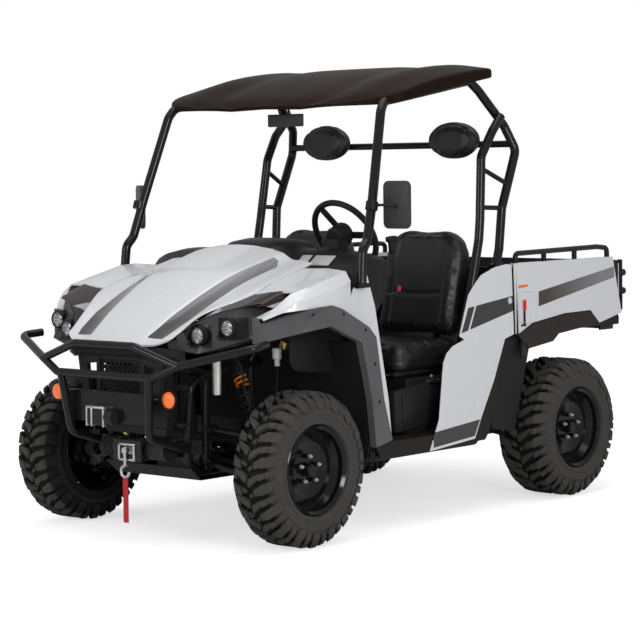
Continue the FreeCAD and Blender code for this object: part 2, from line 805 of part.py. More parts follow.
def winch():
    """Winch drum and motor across the nose, with its fairlead, hook and strap."""
    x = fx(290)
    parts = [
        rod((x, -195, 400), (x, 195, 400), 62),
        rod((x, -195, 400), (x, -70, 400), 92),
        rod((x, 80, 400), (x, 195, 400), 92),
        box(FRAME_NOSE + 18.3, x + 50, -70, -60, 350, 450),
        box(FRAME_NOSE + 18.3, x + 50, 60, 70, 350, 450),
    ]
    fair = box(x + 62, x + 70, -85, 85, 350, 440).cut(box(x + 60, x + 72, -55, 55, 380, 412))
    arms = [box(x + 48, x + 62, side * 65 - 5, side * 65 + 5, 350, 440) for side in (1, -1)]
    add_shape("winch", fuse(parts + arms + [fair]))
    face = x + 70 + SEAT_GAP
    thimble = rod((face, 0, 396), (face + 18, 0, 396), 30)
    shank = rod((face + 12, 0, 396), (face + 12, 0, 330), 14)
    bowl = Part.makeTorus(24, 7, Vector(face + 12, 0, 306), Vector(1, 0, 0))
    gap = box(face, face + 30, 4, 40, 306, 330)
    add_shape("winch_hook", fuse([thimble, shank, bowl]).cut(gap))
    strap = tube_strap(face + 12, 306 - 24 - 7 - SEAT_GAP)
    add_shape("winch_strap", strap)


def tube_strap(x, top):
    """Make the flat pull strap that hangs below the hook."""
    wide, thick, low = 30, 4, 85
    return box(x - thick / 2, x + thick / 2, -wide / 2, wide / 2, low, top)


# Body panels


# Stations along X from the front axle: heights and half widths of the bonnet's crease, of the
# valley outside its stripe and of its seam, and the centre's rise above the crease.
HOOD_STATIONS = (
    (434, (165, 868), (250, 868), (302, 872), 5),
    (354, (179, 920), (278, 907), (327, 918), 8),
    (241, (199, 992), (303, 970), (362, 992), 11),
    (64, (226, 1085), (315, 1055), (460, 1058), 16),
    (-76, (246, 1143), (321, 1110), (452, 1105), 22),
    (-246, (265, 1192), (332, 1160), (446, 1148), 28),
    (-356, (277, 1220), (338, 1188), (440, 1178), 34),
)


def hood_ridge(station):
    """Half outline of the bonnet's top at a station, from the centre outwards."""
    reach, crease, valley, seam, rise = station
    crease_y, crease_z = crease
    return [(0, crease_z + rise), (crease_y - 45, crease_z + rise * 0.6), (crease_y - 8, crease_z + 2),
            (crease_y + 8, crease_z - 5), valley, seam]


def hood():
    """Bonnet lid: a creased shell that rises towards the cab, with two hinge ears."""
    wires = [shell_section(fx(station[0]), full_ridge(hood_ridge(station)), size("hood_wall"))
             for station in HOOD_STATIONS]
    x = size("hood_hinge_x")
    z = size("hood_hinge_z")
    ear = box(x - 10, x + 30, HOOD_EAR_Y - 4, HOOD_EAR_Y + 4, z - 10, z + 26)
    ear = ear.cut(rod((x, HOOD_EAR_Y - 5, z), (x, HOOD_EAR_Y + 5, z), 12.6))
    corner = prism([(fx(431), 255), (fx(399), 312), (fx(386), 322), (fx(386), 360), (fx(450), 360),
                    (fx(450), 255)], "XY", 780, 1000)
    skin = loft(wires, False).cut(fuse([corner, mirrored(corner)]))
    add_shape("hood", fuse([skin, ear, mirrored(ear)]))


def hood_room():
    """Space kept for the bonnet's edges, out to the seam on both sides."""
    gap = SEAM + 2
    wires = []
    for reach, _, valley, seam, _ in HOOD_STATIONS:
        y = seam[0] + gap
        low = min(valley[1], seam[1]) - size("hood_wall") - gap
        wires.append(polygon([(fx(reach), -y, low), (fx(reach), y, low), (fx(reach), y, low + 200),
                              (fx(reach), -y, low + 200)]))
    return loft(wires, False)


# Stations along X from the front axle: heights of the fender's inner part, crest, shoulder and lower
# edge, with the half widths of the last three.
FENDER_STATIONS = (
    (39, 1076, (-22, 1078), (18, 1045), (26, 1004)),
    (-76, 1108, (-22, 1100), (18, 1062), (26, 1012)),
    (-193, 1136, (-24, 1128), (13, 1085), (22, 1000)),
    (-286, 1160, (-26, 1150), (0, 1110), (0, 960)),
    (-356, 1178, (-30, 1166), (-4, 1140), (0, 1108)),
)


def fender_skin():
    """Top and shoulder of the left fender, from the bonnet's seam out to the flare."""
    wall = WALL
    wires = []
    for (reach, inner_z, crest, shoulder, foot), station in zip(FENDER_STATIONS, HOOD_STATIONS[3:]):
        seam_y, seam_z = hood_seam(reach)
        ridge = [(seam_y - SEAM, seam_z - 2), (SIDE - 120, inner_z), (SIDE + crest[0], crest[1]),
                 (SIDE + shoulder[0], shoulder[1]), (SIDE + foot[0], foot[1])]
        lower = [(SIDE + foot[0] - wall, foot[1]), (SIDE + shoulder[0] - wall, shoulder[1] - 3),
                 (SIDE + crest[0] - 4, crest[1] - wall), (SIDE - 120, inner_z - wall),
                 (seam_y - SEAM, seam_z - 2 - wall)]
        wires.append(polygon([(fx(reach), y, z) for y, z in ridge + lower]))
    return loft(wires)


def hood_seam(reach):
    """Half width and height of the bonnet's seam at a distance from the front axle."""
    for (first, *_), (second, *_) in zip(HOOD_STATIONS, HOOD_STATIONS[1:]):
        if second <= reach <= first:
            break
    ahead = next(station for station in HOOD_STATIONS if station[0] == first)
    behind = next(station for station in HOOD_STATIONS if station[0] == second)
    share = (first - reach) / (first - second)
    return tuple(a + share * (b - a) for a, b in zip(ahead[3], behind[3]))


def fender_shape():
    """Left front fender: skin, forward shoulder over the flare, and the column by the door."""
    shoulder = []
    for reach, crest, foot in ((39, 1078, 1004), (72, 1070, 1003), (172, 1016, 999), (288, 984, 974)):
        shoulder.append(polygon([(fx(reach), y, z) for y, z in (
            (SIDE - 24, crest), (SIDE + 18, (crest + foot) / 2 + 6), (SIDE + 26, foot), (SIDE + 20, foot),
            (SIDE + 12, (crest + foot) / 2 + 3), (SIDE - 26, crest - WALL))]))
    column = [
        (fx(-330), 1108), (fx(-356), 1140), (fx(-397), 1127), (fx(-446), 993), (fx(-532), 577),
        (fx(-551), 399), (fx(-504), 404), (fx(-448), 587), (fx(-400), 859), (fx(-359), 906),
        (fx(-286), 944), (fx(-286), 1040),
    ]
    return fuse([fender_skin(), loft(shoulder), prism(column, "XZ", SIDE - WALL, SIDE)]).cut(hood_room())


def fenders():
    """Front fenders, left and right, cut round the cage's feet."""
    pillar = box(fx(-376), fx(-312), SIDE - 12, SIDE + 50, 1074, 1250)
    left = fender_shape().cut(pillar)
    add_shape("fenders", both_sides(left))
    return left


def arch_trims(fender):
    """Flares along the edges of the front fenders."""
    outline = [
        (fx(336), 990), (fx(318), 958), (fx(0), 1006), (fx(-128), 1014), (fx(-193), 995), (fx(-363), 909),
        (fx(-410), 862), (fx(-458), 587), (fx(-512), 406), (fx(-402), 383), (fx(-377), 593), (fx(-345), 727),
        (fx(-313), 844), (fx(-116), 926), (fx(138), 902), (fx(333), 879),
    ]
    add_shape("arch_trims", both_sides(prism(outline, "XZ", SIDE + 0.3, SIDE + 38).cut(fender)))


def splash_panels():
    """Inner liners behind the front wheels and in front of the rear wheels."""
    front = [(fx(-410), 352), (fx(-385), 600), (fx(-325), 850), (fx(-319), 847), (fx(-379), 599), (fx(-404), 352)]
    rear = [(rx(298), 727), (rx(419), 347), (rx(590), 372), (rx(600), 450), (rx(500), 775), (rx(390), 795)]
    foot = box(490.3, fx(-396), 330, 600, 470, 476)
    tab = box(-376, -361, 652.6, SIDE - 24, 480, 496)
    liners = [prism(front, "XZ", 330, SIDE - 10).fuse(foot), prism(rear, "XZ", SIDE - 26, SIDE - 20).fuse(tab)]
    add_shape("splash_panels", Part.makeCompound(liners + [mirrored(part) for part in liners]))


def nose():
    """Front fascia: a lip under the bonnet's edge and a frame round the grille."""
    low, top = 606, 852
    lip = []
    for y, face, edge in ((-330, 372, 838), (-262, 418, top), (262, 418, top), (330, 372, 838)):
        lip.append(polygon([(fx(face), y, edge), (fx(face + 6), y, edge - 30), (fx(face - 22), y, edge - 52),
                            (fx(face - 44), y, edge - 52), (fx(face - 44), y, edge - 6)]))
    outer = [(-262, top - 50), (262, top - 50), (232, low), (-232, low)]
    inner = [(-126, 790), (126, 790), (123, low + 8), (-123, low + 8)]
    side = [(146, 770), (206, 764), (196, 650), (146, 640)]
    plate = prism(outer, "YZ", fx(370), fx(392)).cut(prism(inner, "YZ", fx(369), fx(393)))
    for mirror_sign in (1, -1):
        window = [(mirror_sign * y, z) for y, z in side]
        plate = plate.cut(prism(window, "YZ", fx(369), fx(393)))
    add_shape("nose", fuse([plate, loft(lip)]).cut(lamp_housing()))


def grille():
    """Diamond mesh set in the fascia."""
    wide, low, top = 125.7, 614.3, 789.7
    outline = [(-wide, top), (wide, top), (wide - 3, low), (3 - wide, low)]
    sheet_metal = prism(outline, "YZ", fx(378), fx(384))
    pitch_y, pitch_z, bar = 26, 29, 3.2
    holes = []
    for row in range(12):
        z = low + 10 + pitch_z / 2 * row
        for column in range(-5, 6):
            y = pitch_y * (column + (0.5 if row % 2 else 0))
            if abs(y) < wide - pitch_y / 2 - 4 and z + pitch_z / 2 < top:
                reach_y, reach_z = pitch_y / 2 - bar, pitch_z / 2 - bar
                diamond = [(y - reach_y, z), (y, z + reach_z), (y + reach_y, z), (y, z - reach_z)]
                holes.append(prism(diamond, "YZ", fx(377), fx(385)))
    add_shape("grille", sheet_metal.cut(Part.makeCompound(holes)))


# Stations across the left lamp housing, from the bonnet out to the fender: front lower and front upper
# corners as distances from the front axle and heights, and how deep the housing is.
LAMP_STATIONS = (
    (290, (385, 846), (392, 878), 40),
    (330, (358, 838), (378, 900), 50),
    (400, (326, 826), (286, 968), 70),
    (520, (302, 856), (216, 1016), 80),
    (610, (292, 882), (186, 1026), 80),
    (696, (262, 904), (256, 976), 60),
)
LENSES = ((402, 322, 902, 70), (522, 268, 935, 70))


def lamp_housing():
    """Left lamp housing as a block between the bonnet and the fender."""
    wires = []
    for y, low, top, deep in LAMP_STATIONS:
        wires.append(polygon([(fx(low[0]), y, low[1]), (fx(top[0]), y, top[1]), (fx(top[0] - deep), y, top[1] - 14),
                              (fx(low[0] - deep), y, low[1])]))
    return loft(wires).cut(hood_room())


def headlamps():
    """Lamp housings beside the bonnet with a pocket round each lens."""
    shell = lamp_housing()
    lenses = []
    for y, reach, z, diameter in LENSES:
        pocket = [(y - 48, z - 42), (y - 30, z + 46), (y + 40, z + 52), (y + 44, z - 30)]
        shell = shell.cut(prism(pocket, "YZ", fx(reach - 26), fx(reach + 120)))
        lenses.append(rod((fx(reach - 25.7), y, z), (fx(reach + 8), y, z), diameter))
    add_shape("headlamps", both_sides(shell))
    add_shape("lamp_lenses", Part.makeCompound(lenses + [mirrored(part) for part in lenses]))


# Stations across the dark brow over the left lamps: rear edge at the bonnet or fender and front edge at
# the housing, as distances from the front axle and heights.
BROW_STATIONS = (
    (342, (312, 940), (340, 926)),
    (400, (170, 1016), (284, 972)),
    (464, (58, 1058), (246, 1000)),
    (560, (46, 1074), (202, 1024)),
    (640, (44, 1082), (176, 1032)),
    (692, (42, 1078), (160, 1022)),
)


def lamp_brows(fender):
    """Brows that close the fender's front between the bonnet and the lamp housings."""
    wires = []
    for y, rear, front in BROW_STATIONS:
        wires.append(polygon([(fx(rear[0]), y, rear[1]), (fx(front[0]), y, front[1]),
                              (fx(front[0]), y, front[1] - WALL), (fx(rear[0]), y, rear[1] - WALL)]))
    add_shape("lamp_brows", both_sides(loft(wires).cut(hood_room()).cut(lamp_housing()).cut(fender)))


def indicators():
    """Oval amber lamps on the bumper's uprights."""
    x = BUMPER_X - 60
    lamp = rod((x - 30, 340, 638), (x + 10, 340, 638), 84)
    add_shape("indicators", both_sides(lamp))


# Stations along X of the roof: half width, lower edge, side's top, pod's top and centre heights.
ROOF_STATIONS = (
    (400, 430, 1862, 1874, 1876, 1876),
    (345, 640, 1868, 1896, 1908, 1908),
    (270, 716, 1884, 1926, 1944, 1940),
    (150, 722, 1906, 1958, 1990, 1982),
    (0, 722, 1932, 1990, 2026, 2022),
    (-200, 722, 1967, 2020, 2051, 2052),
    (-340, 718, 1990, 2034, 2057, 2060),
    (-370, 704, 1996, 2028, 2046, 2050),
)


def roof():
    """Moulded roof: crowned centre, a raised pod each side and turned-down edges."""
    wall = size("roof_wall")
    wires = []
    for x, half, edge, side, pod, crown in ROOF_STATIONS:
        drop = min(wall, side - edge + 4)
        ridge = [(0, crown), (half * 0.38, crown - 1), (half * 0.56, pod - 6), (half * 0.74, pod),
                 (half * 0.9, side + 10), (half, side), (half, edge)]
        inner = [(half - 14, edge), (half - 14, side - drop * 0.5), (half * 0.88, side - drop * 0.7),
                 (half * 0.74, pod - drop), (half * 0.56, pod - 6 - drop), (half * 0.38, crown - 1 - drop),
                 (0, crown - drop)]
        spots = [(-y, z) for y, z in reversed(ridge[1:])] + ridge + inner + [(-y, z) for y, z in reversed(inner[:-1])]
        wires.append(polygon([(x, y, z) for y, z in spots]))
    hoop = fuse(tubes([cage_front_run()], size("cage_tube") + 2 * SEAT_GAP, 60))
    y = size("cage_half_width") - 18
    bosses = [box(x - 22, x + 22, side * y - 20, side * y + 20, z, z + tall)
              for x, z, tall in ((-280, 1985, 48), (180, 1905, 62)) for side in (1, -1)]
    bars = [rod((x, -y, z), (x, y, z), size("cage_tube") + 2 * SEAT_GAP)
            for x, y, z in ((fx(-660), size("cage_half_width"), 1887), (-308, size("cage_half_width") - 26, 1980))]
    bars.append(rod((fx(-660), -15, 1887), (fx(-660), 15, 1887), size("cage_tube") + 10 + 2 * SEAT_GAP))
    add_shape("roof", fuse([loft(wires)] + bosses).cut(fuse([hoop] + bars)))


def quarter_outline():
    """Outline of the quarter panel beside the seat."""
    return [
        (-163, 1006), (-94, 822), (-128, 804), (-43, 779), (-1, 751), (24, 711), (33, 655), (60, 456),
        (128, 321), (-201, 345), (-247, 432), (-349, 603), (-435, 787), (-505, 805), (-490, 1130),
        (-454, 1134), (-366, 1124), (-261, 1092), (-218, 1059),
    ]


def quarter_panels():
    """White panels behind the door openings."""
    plate = prism(quarter_outline(), "XZ", SIDE - WALL, SIDE)
    add_shape("quarter_panels", both_sides(plate))


def sill_outline():
    """Outline of the dark sill, from the fender back and up to the bed."""
    return [
        (fx(-451), 375), (fx(-485), 323), (fx(-603), 316), (-286, 332), (-319, 370), (-339, 448),
        (-440, 785), (-400, 785), (-330, 600), (-225, 430), (-180, SILL_TOP), (fx(-551), SILL_TOP),
        (fx(-504), SILL_TOP + 4),
    ]


def sills():
    """Dark sill covers, left and right."""
    outer = SIDE - WALL - SEAT_GAP
    plate = prism(sill_outline(), "XZ", outer - 8, outer)
    tread = box(-120, fx(-560), 601, outer - 4, SILL_TOP - WALL, SILL_TOP)
    lip = box(-120, fx(-560), 601, 607, FLOOR_TOP + SEAT_GAP, SILL_TOP)
    add_shape("sills", both_sides(fuse([plate, tread, lip])))


# Cab


def floor_pan():
    """Floor and footwell front, one bent sheet between the sills."""
    low = FLOOR
    outline = [(-300, low), (390, low), (490, low + 110), (490, 890), (484, 890), (484, low + 113),
               (388, low + 6), (-300, low + 6)]
    wings = box(-125, 385, -640, 640, low, low + 6)
    add_shape("floor_pan", prism(outline, "XZ", -600, 600).fuse(wings))


def dashboard():
    """Dashboard and cowl between the windscreen pillars."""
    hub_room = Part.makeCylinder(44, 60, Vector(*COLUMN_TOP) - COLUMN_RUN * 23, COLUMN_RUN)
    add_shape("dashboard", dash_shape().cut(column_shape()).cut(hub_room))


def dash_shape():
    """Dashboard before the column passes through it."""
    low = 890 + SEAT_GAP
    outline = [(fx(-370), 1130), (fx(-392), 1212), (fx(-412), 1240), (fx(-500), 1283), (290, 1270),
               (268, 1200), (330, 1010), (450, low), (500, low), (520, 1000)]
    return prism(outline, "XZ", -640, 640)


COLUMN_TOP = (262, size("seat_half_spacing"), 1290)
COLUMN_RUN = Vector(0.87, 0, -0.493)


def column_shape():
    """Steering column from the wheel's hub into the dashboard."""
    return Part.makeCylinder(26, 150, Vector(*COLUMN_TOP) + COLUMN_RUN * 32, COLUMN_RUN)


def steering():
    """Steering wheel with three spokes, and its column."""
    add_shape("steering_column", column_shape())
    grip = size("steering_grip") / 2
    radius = size("steering_wheel_diameter") / 2 - grip
    parts = [Part.makeTorus(radius, grip)]
    for angle in (90, 210, 330):
        spoke = Part.makeBox(radius, 30, 10, Vector(0, -15, -8))
        spoke.rotate(Vector(), Vector(0, 0, 1), angle)
        parts.append(spoke)
    parts.append(Part.makeCylinder(38, 42, Vector(0, 0, -31.7)))
    wheel = fuse(parts)
    turn = Rotation(Vector(0, 0, 1), Vector(-COLUMN_RUN.x, 0, -COLUMN_RUN.z))
    add_shape("steering_wheel", wheel, Placement(Vector(*COLUMN_TOP), turn))


def shift_lever():
    """Range lever with its knob, rising from the dashboard's lower edge."""
    lever = rod((330, 60, 1062), (196, 60, 1140), 12)
    knob = Part.makeSphere(22, Vector(190, 60, 1144))
    add_shape("shift_lever", fuse([lever, knob]).cut(dash_shape()))


def rounded(shape, radius, picked):
    """Round the edges of a shape that a test picks."""
    return shape.makeFillet(radius, [edge for edge in shape.Edges if picked(edge.BoundBox)])


def seats():
    """Two seats: cushions and backs with rounded corners, on a box with slides."""
    y = size("seat_half_spacing")
    half = size("seat_width") / 2
    top = size("seat_height")
    base = box(-300, 130, -590, 590, FLOOR_TOP + SEAT_GAP, top - 62)
    slides = [box(-280, 120, side * y - s * 160 - 12, side * y - s * 160 + 12, top - 62, top - 31)
              for side in (1, -1) for s in (1, -1)]
    add_shape("seat_base", fuse([base] + slides))
    low = top - 31 + SEAT_GAP
    thick = 121
    cushion = box(-290, 190, y - half, y + half, low, low + thick)
    cushion = rounded(cushion, 70, lambda bound: bound.ZLength > thick - 1)
    cushion = rounded(cushion, 30, lambda bound: bound.ZLength < 1)
    add_shape("seat_cushions", both_sides(cushion))
    tall = 520
    deep = 100
    rest = low + thick + SEAT_GAP
    back = box(0, deep, y - half + 6, y + half - 6, 0, tall)
    back = rounded(back, 150, lambda bound: bound.XLength > deep - 1 and bound.ZMin > tall - 1)
    back = rounded(back, 60, lambda bound: bound.XLength > deep - 1 and bound.ZMax < 1)
    back = rounded(back, 34, lambda bound: bound.XLength < 1)
    back.rotate(Vector(), Vector(0, 1, 0), -12)
    back.translate(Vector(-300, 0, rest - back.BoundBox.ZMin))
    add_shape("seat_backs", both_sides(back))


def headrests():
    """Oval pads carried by the cage's cross bar."""
    face_x = -444
    wide, tall, deep = 300, 186, 62
    oval = Part.Face(Part.Wire([Part.Ellipse(Vector(), wide / 2, tall / 2).toShape()]))
    cushion = oval.extrude(Vector(0, 0, deep))
    cushion = cushion.makeFillet(22, cushion.Edges)
    cushion.Placement = Placement(Vector(face_x - deep, 400, 1711),
                                  Rotation(Vector(0, 1, 0), Vector(0, 0, 1), Vector(1, 0, 0), "XYZ"))
    stem = box(-540, face_x - deep + 6, 385, 415, 1695, 1740)
    bar = rod((-535, 300, 1690), (-535, 500, 1690), size("cross_tube") + 2 * SEAT_GAP)
    add_shape("headrests", both_sides(fuse([cushion, stem]).cut(bar)))


def mirrors():
    """Door mirrors on arms clamped to the pillars, and the interior mirror."""
    pillar = Vector(fx(-397), SIDE + 3, 1278)
    upward = (Vector(fx(-453), SIDE - 13, 1449) - pillar).normalize()
    spot = pillar + upward * 150
    outside = Part.makeCylinder(size("cage_tube") / 2 + 6, 36, spot, upward)
    inside = Part.makeCylinder(size("cage_tube") / 2 + SEAT_GAP, 60, spot - upward * 12, upward)
    clamp = outside.cut(inside)
    arm_start = spot + upward * 18 + Vector(0, size("cage_tube") / 2 + 3, 0)
    arm_shape = tube([tuple(arm_start), (arm_start.x, 830, arm_start.z), (fx(-472), 830, 1400)], 10, 15)
    head = box(fx(-484), fx(-460), 758, 902, 1325, 1535)
    head = head.makeFillet(10, head.Edges)
    door = fuse([clamp, arm_shape, head])
    glass = box(fx(-690), fx(-675), -110, 110, 1780, 1840)
    bar = (fx(-660), 1887)
    ring_out = rod((bar[0], -14, bar[1]), (bar[0], 14, bar[1]), size("cage_tube") + 10)
    ring_in = rod((bar[0], -15, bar[1]), (bar[0], 15, bar[1]), size("cage_tube") + 2 * SEAT_GAP)
    post = rod((fx(-682), 0, 1836), (bar[0] - 4, 0, bar[1] - size("cage_tube") / 2 - 3), 14)
    middle = fuse([ring_out.cut(ring_in), glass, post.cut(ring_in)])
    add_shape("mirrors", Part.makeCompound([door, mirrored(door), middle]))


# Cargo bed


def bed_tub():
    """Cargo tray: floor and upright walls, open at the rear and on top."""
    half = size("bed_half_width") - WALL - SEAT_GAP
    wall = size("bed_wall")
    front = size("bed_front") - 14
    rear = size("bed_rear")
    floor = size("bed_floor")
    top = size("bed_top") - 20
    body = box(rear, front, -half, half, floor, top)
    inside = box(rear - 1, front - wall, -half + wall, half - wall, floor + 12, top + 1)
    wall_y = size("bed_half_width") - 46
    axis_x = rear - 12 - size("tailgate_wall") / 2
    axis_z = floor + 6 + size("tailgate_wall") / 2
    ear = box(axis_x - 16, rear, wall_y, wall_y + 14, floor, axis_z + 16)
    ear = ear.cut(rod((axis_x, wall_y - 1, axis_z), (axis_x, wall_y + 15, axis_z), 12.6))
    add_shape("bed_tub", fuse([body.cut(inside), ear, mirrored(ear)]))


def bed_sides():
    """White outer skins of the bed, with a folded top edge."""
    top = size("bed_top")
    front = size("bed_front") - 13
    outline = [
        (front, top), (-1309, top), (-1385, 856), (-1195, 817), (-1117, 883), (-900, 880),
        (-640, 850), (front - 22, 806),
    ]
    outer = size("bed_half_width")
    skin = prism(outline, "XZ", outer - WALL, outer)
    cap = box(-1309, front, outer - 34, outer, top - 19, top)
    rear = size("bed_rear")
    post = box(rear - 6, rear - SEAT_GAP, outer - 44, outer - WALL, 860, 1100)
    add_shape("bed_sides", both_sides(fuse([skin, cap, post])))


def bed_trims():
    """Dark trims along the lower edge of the bed's skins."""
    front = size("bed_front") - 13
    outline = [
        (front - 22, 802), (-640, 846), (-900, 876), (-1117, 879), (-1180, 812), (-1078, 806),
        (-847, 786), (-801, 753), (-607, 731), (front - 20, 790),
    ]
    outer = size("bed_half_width")
    add_shape("bed_trims", both_sides(prism(outline, "XZ", outer - WALL, outer + 4)))


def bed_rails():
    """Tube rails along the tops of the bed's sides."""
    top = size("bed_top") + 0.3
    front = size("bed_front")
    y = size("bed_half_width") - 20
    run = [(front - 34, y, top), (front - 34, y, top + 44), (-1200, y, top + 52), (-1286, y, top + 44),
           (-1286, y, top)]
    posts = [rod((x, y, top), (x, y, top + 46), size("rail_tube")) for x in (-760, -1010)]
    left = fuse([tube(run, size("rail_tube"), 40)] + posts)
    add_shape("bed_rails", both_sides(left))


def bed_frame():
    """Bearers under the bed with the hinge pins and front rests."""
    half = size("rail_half_spacing")
    rest = size("bed_rail_height") + size("frame_tube") / 2 + 0.3
    floor = size("bed_floor") - 0.3
    x = size("bed_hinge_x")
    z = size("bed_hinge_z")
    bar = box(-1300, size("bed_front") - 40, half - 20, half + 20, z - 20, floor)
    pin = rod((x, half - 30, z), (x, half + 32, z), size("hinge_pin"))
    foot = box(-600, size("bed_front") - 50, half - 16, half + 16, rest, z - 19)
    wide = size("bed_half_width") - 14
    cross = box(-1325, -1290, -wide, wide, floor - 19.7, floor)
    left = fuse([bar, pin, foot])
    add_shape("bed_frame", fuse([left, mirrored(left), cross]))


def tailgate():
    """Tailgate hinged along its lower edge between the bed's sides."""
    rear = size("bed_rear")
    half = size("bed_half_width") - 48
    wall = size("tailgate_wall")
    body = new_body("tailgate")
    low = size("bed_floor") + 6
    top = size("bed_top") - 20
    face = rear - 12
    outline = [(face, low), (face, top), (face - wall, top), (face - wall, low)]
    pad(body, closed_sketch(body, "TailgateSide", "XZ_Plane", outline, -half), 2 * half)
    document.recompute()
    pin = body.newObject("Sketcher::SketchObject", "TailgatePin")
    pin.AttachmentSupport = [(origin_feature(body, "XZ_Plane"), "")]
    pin.MapMode = "FlatFace"
    pin.AttachmentOffset = Placement(Vector(0, 0, -half - 12), Rotation())
    pin.addGeometry(Part.Circle(Vector(face - wall / 2, low + wall / 2, 0), Vector(0, 0, 1), 6), False)
    pad(body, pin, 2 * half + 24)


def tail_lamps():
    """Round rear lamps on the bed's corners."""
    lamps = []
    for z in (960, 1060):
        y = size("bed_half_width") - 22
        lamps.append(rod((size("bed_rear") - 6.3, y, z), (size("bed_rear") - 46, y, z), 40))
    add_shape("tail_lamps", Part.makeCompound(lamps + [mirrored(lamp) for lamp in lamps]))


def build():
    """Make every sub-part."""
    wheels()
    frame()
    skid_plate()
    cage()
    bumper()
    control_arms()
    knuckles()
    tie_rods()
    steering_rack()
    shock_absorbers()
    drive_shafts()
    gearboxes()
    engine()
    radiator()
    exhaust()
    winch()
    hood()
    fender = fenders()
    arch_trims(fender)
    splash_panels()
    nose()
    grille()
    headlamps()
    lamp_brows(fender)
    indicators()
    roof()
    quarter_panels()
    sills()
    floor_pan()
    dashboard()
    steering()
    shift_lever()
    seats()
    headrests()
    mirrors()
    bed_tub()
    bed_sides()
    bed_trims()
    bed_rails()
    bed_frame()
    tailgate()
    tail_lamps()


def export():
    """Check every object, then write one file for each sub-part."""
    document.recompute()
    for item in document.Objects:
        if {"Invalid", "Error"} & set(item.State):
            raise RuntimeError(f"{item.Name} did not build: {item.State}")
    for item in NODES:
        if item.Shape.isNull() or not item.Shape.isValid():
            raise RuntimeError(f"{item.Label} has no valid shape")
    os.makedirs("parts", exist_ok=True)
    for item in NODES:
        item.Shape.exportStep(f"parts/{item.Label}.step")
        print(f"{item.Label}: {len(item.Shape.Solids)} solid(s), {item.Shape.Volume / 1e6:.3f} l")


build()
export()
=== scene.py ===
"""Looks of a side by side utility vehicle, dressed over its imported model.

Units are metres. X points forward, Y to the vehicle's left and Z up, as in the model.
"""

import logging
import math
from dataclasses import dataclass
from enum import Enum

import bmesh
import bpy
from mathutils import Matrix, Vector


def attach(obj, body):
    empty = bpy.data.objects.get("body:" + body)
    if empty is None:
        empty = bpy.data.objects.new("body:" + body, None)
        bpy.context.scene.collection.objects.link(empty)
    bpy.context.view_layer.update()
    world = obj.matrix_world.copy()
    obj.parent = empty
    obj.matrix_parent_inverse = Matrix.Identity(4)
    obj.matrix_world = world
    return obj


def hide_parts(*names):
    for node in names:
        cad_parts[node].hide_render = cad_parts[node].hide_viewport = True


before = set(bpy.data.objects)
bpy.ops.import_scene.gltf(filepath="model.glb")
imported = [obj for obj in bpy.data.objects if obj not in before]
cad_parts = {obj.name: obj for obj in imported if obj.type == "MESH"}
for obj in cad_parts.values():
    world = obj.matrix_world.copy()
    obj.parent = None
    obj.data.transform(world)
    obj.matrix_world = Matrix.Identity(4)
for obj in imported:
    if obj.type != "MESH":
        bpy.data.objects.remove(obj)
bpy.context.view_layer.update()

logging.basicConfig(level=logging.INFO, format="%(message)s")
LOG = logging.getLogger("vehicle")

Colour = tuple[float, float, float]
Point = tuple[float, float, float]
Flat = tuple[float, float]

WHITE: Colour = (0.70, 0.71, 0.74)
AXLE = 0.946
WHEEL_RADIUS = 0.330
AHEAD: Point = (1, 0, 0)
OUTWARD: Point = (0, 1, 0)
STILL = Matrix.Identity(4)


# Materials


class Signal:
    """A value in a material, which can be reckoned with like a number."""

    def __init__(self, graph: "Graph", socket: bpy.types.NodeSocket) -> None:
        """Wrap a socket of a graph."""
        self.graph = graph
        self.socket = socket

    def _join(self, operation: str, *values: "Signal | float", clamp: bool = False) -> "Signal":
        """Add one step of reckoning.

        Args:
            operation: What the step does.
            values: Its inputs, in order.
            clamp: Whether the result is kept from 0 to 1.

        Returns:
            The step's result.
        """
        settings = {"operation": operation, "use_clamp": clamp}
        node = self.graph.node("ShaderNodeMath", settings, dict(enumerate(values)))
        return Signal(self.graph, node.outputs[0])

    def __add__(self, other: "Signal | float") -> "Signal":
        """Add."""
        return self._join("ADD", self, other)

    def __sub__(self, other: "Signal | float") -> "Signal":
        """Subtract."""
        return self._join("SUBTRACT", self, other)

    def __rsub__(self, other: float) -> "Signal":
        """Subtract from a number."""
        return self._join("SUBTRACT", other, self)

    def __mul__(self, other: "Signal | float") -> "Signal":
        """Multiply."""
        return self._join("MULTIPLY", self, other)

    def __truediv__(self, other: "Signal | float") -> "Signal":
        """Divide."""
        return self._join("DIVIDE", self, other)

    def above(self, edge: "Signal | float", soft: float = 0.0004) -> "Signal":
        """Return 1 where the value is above an edge, with a short soft step."""
        return self._join("MULTIPLY_ADD", self - edge, 1 / soft, 0.5, clamp=True)

    def below(self, edge: "Signal | float", soft: float = 0.0004) -> "Signal":
        """Return 1 where the value is below an edge, with a short soft step."""
        return self._join("MULTIPLY_ADD", self - edge, -1 / soft, 0.5, clamp=True)

    def absolute(self) -> "Signal":
        """Return the size without its sign."""
        return self._join("ABSOLUTE", self)

    def sine(self) -> "Signal":
        """Return the sine."""
        return self._join("SINE", self)

    def larger(self, other: "Signal | float") -> "Signal":
        """Return the larger of two values."""
        return self._join("MAXIMUM", self, other)

    def clamped(self) -> "Signal":
        """Return the value kept from 0 to 1."""
        return self._join("ADD", self, 0.0, clamp=True)


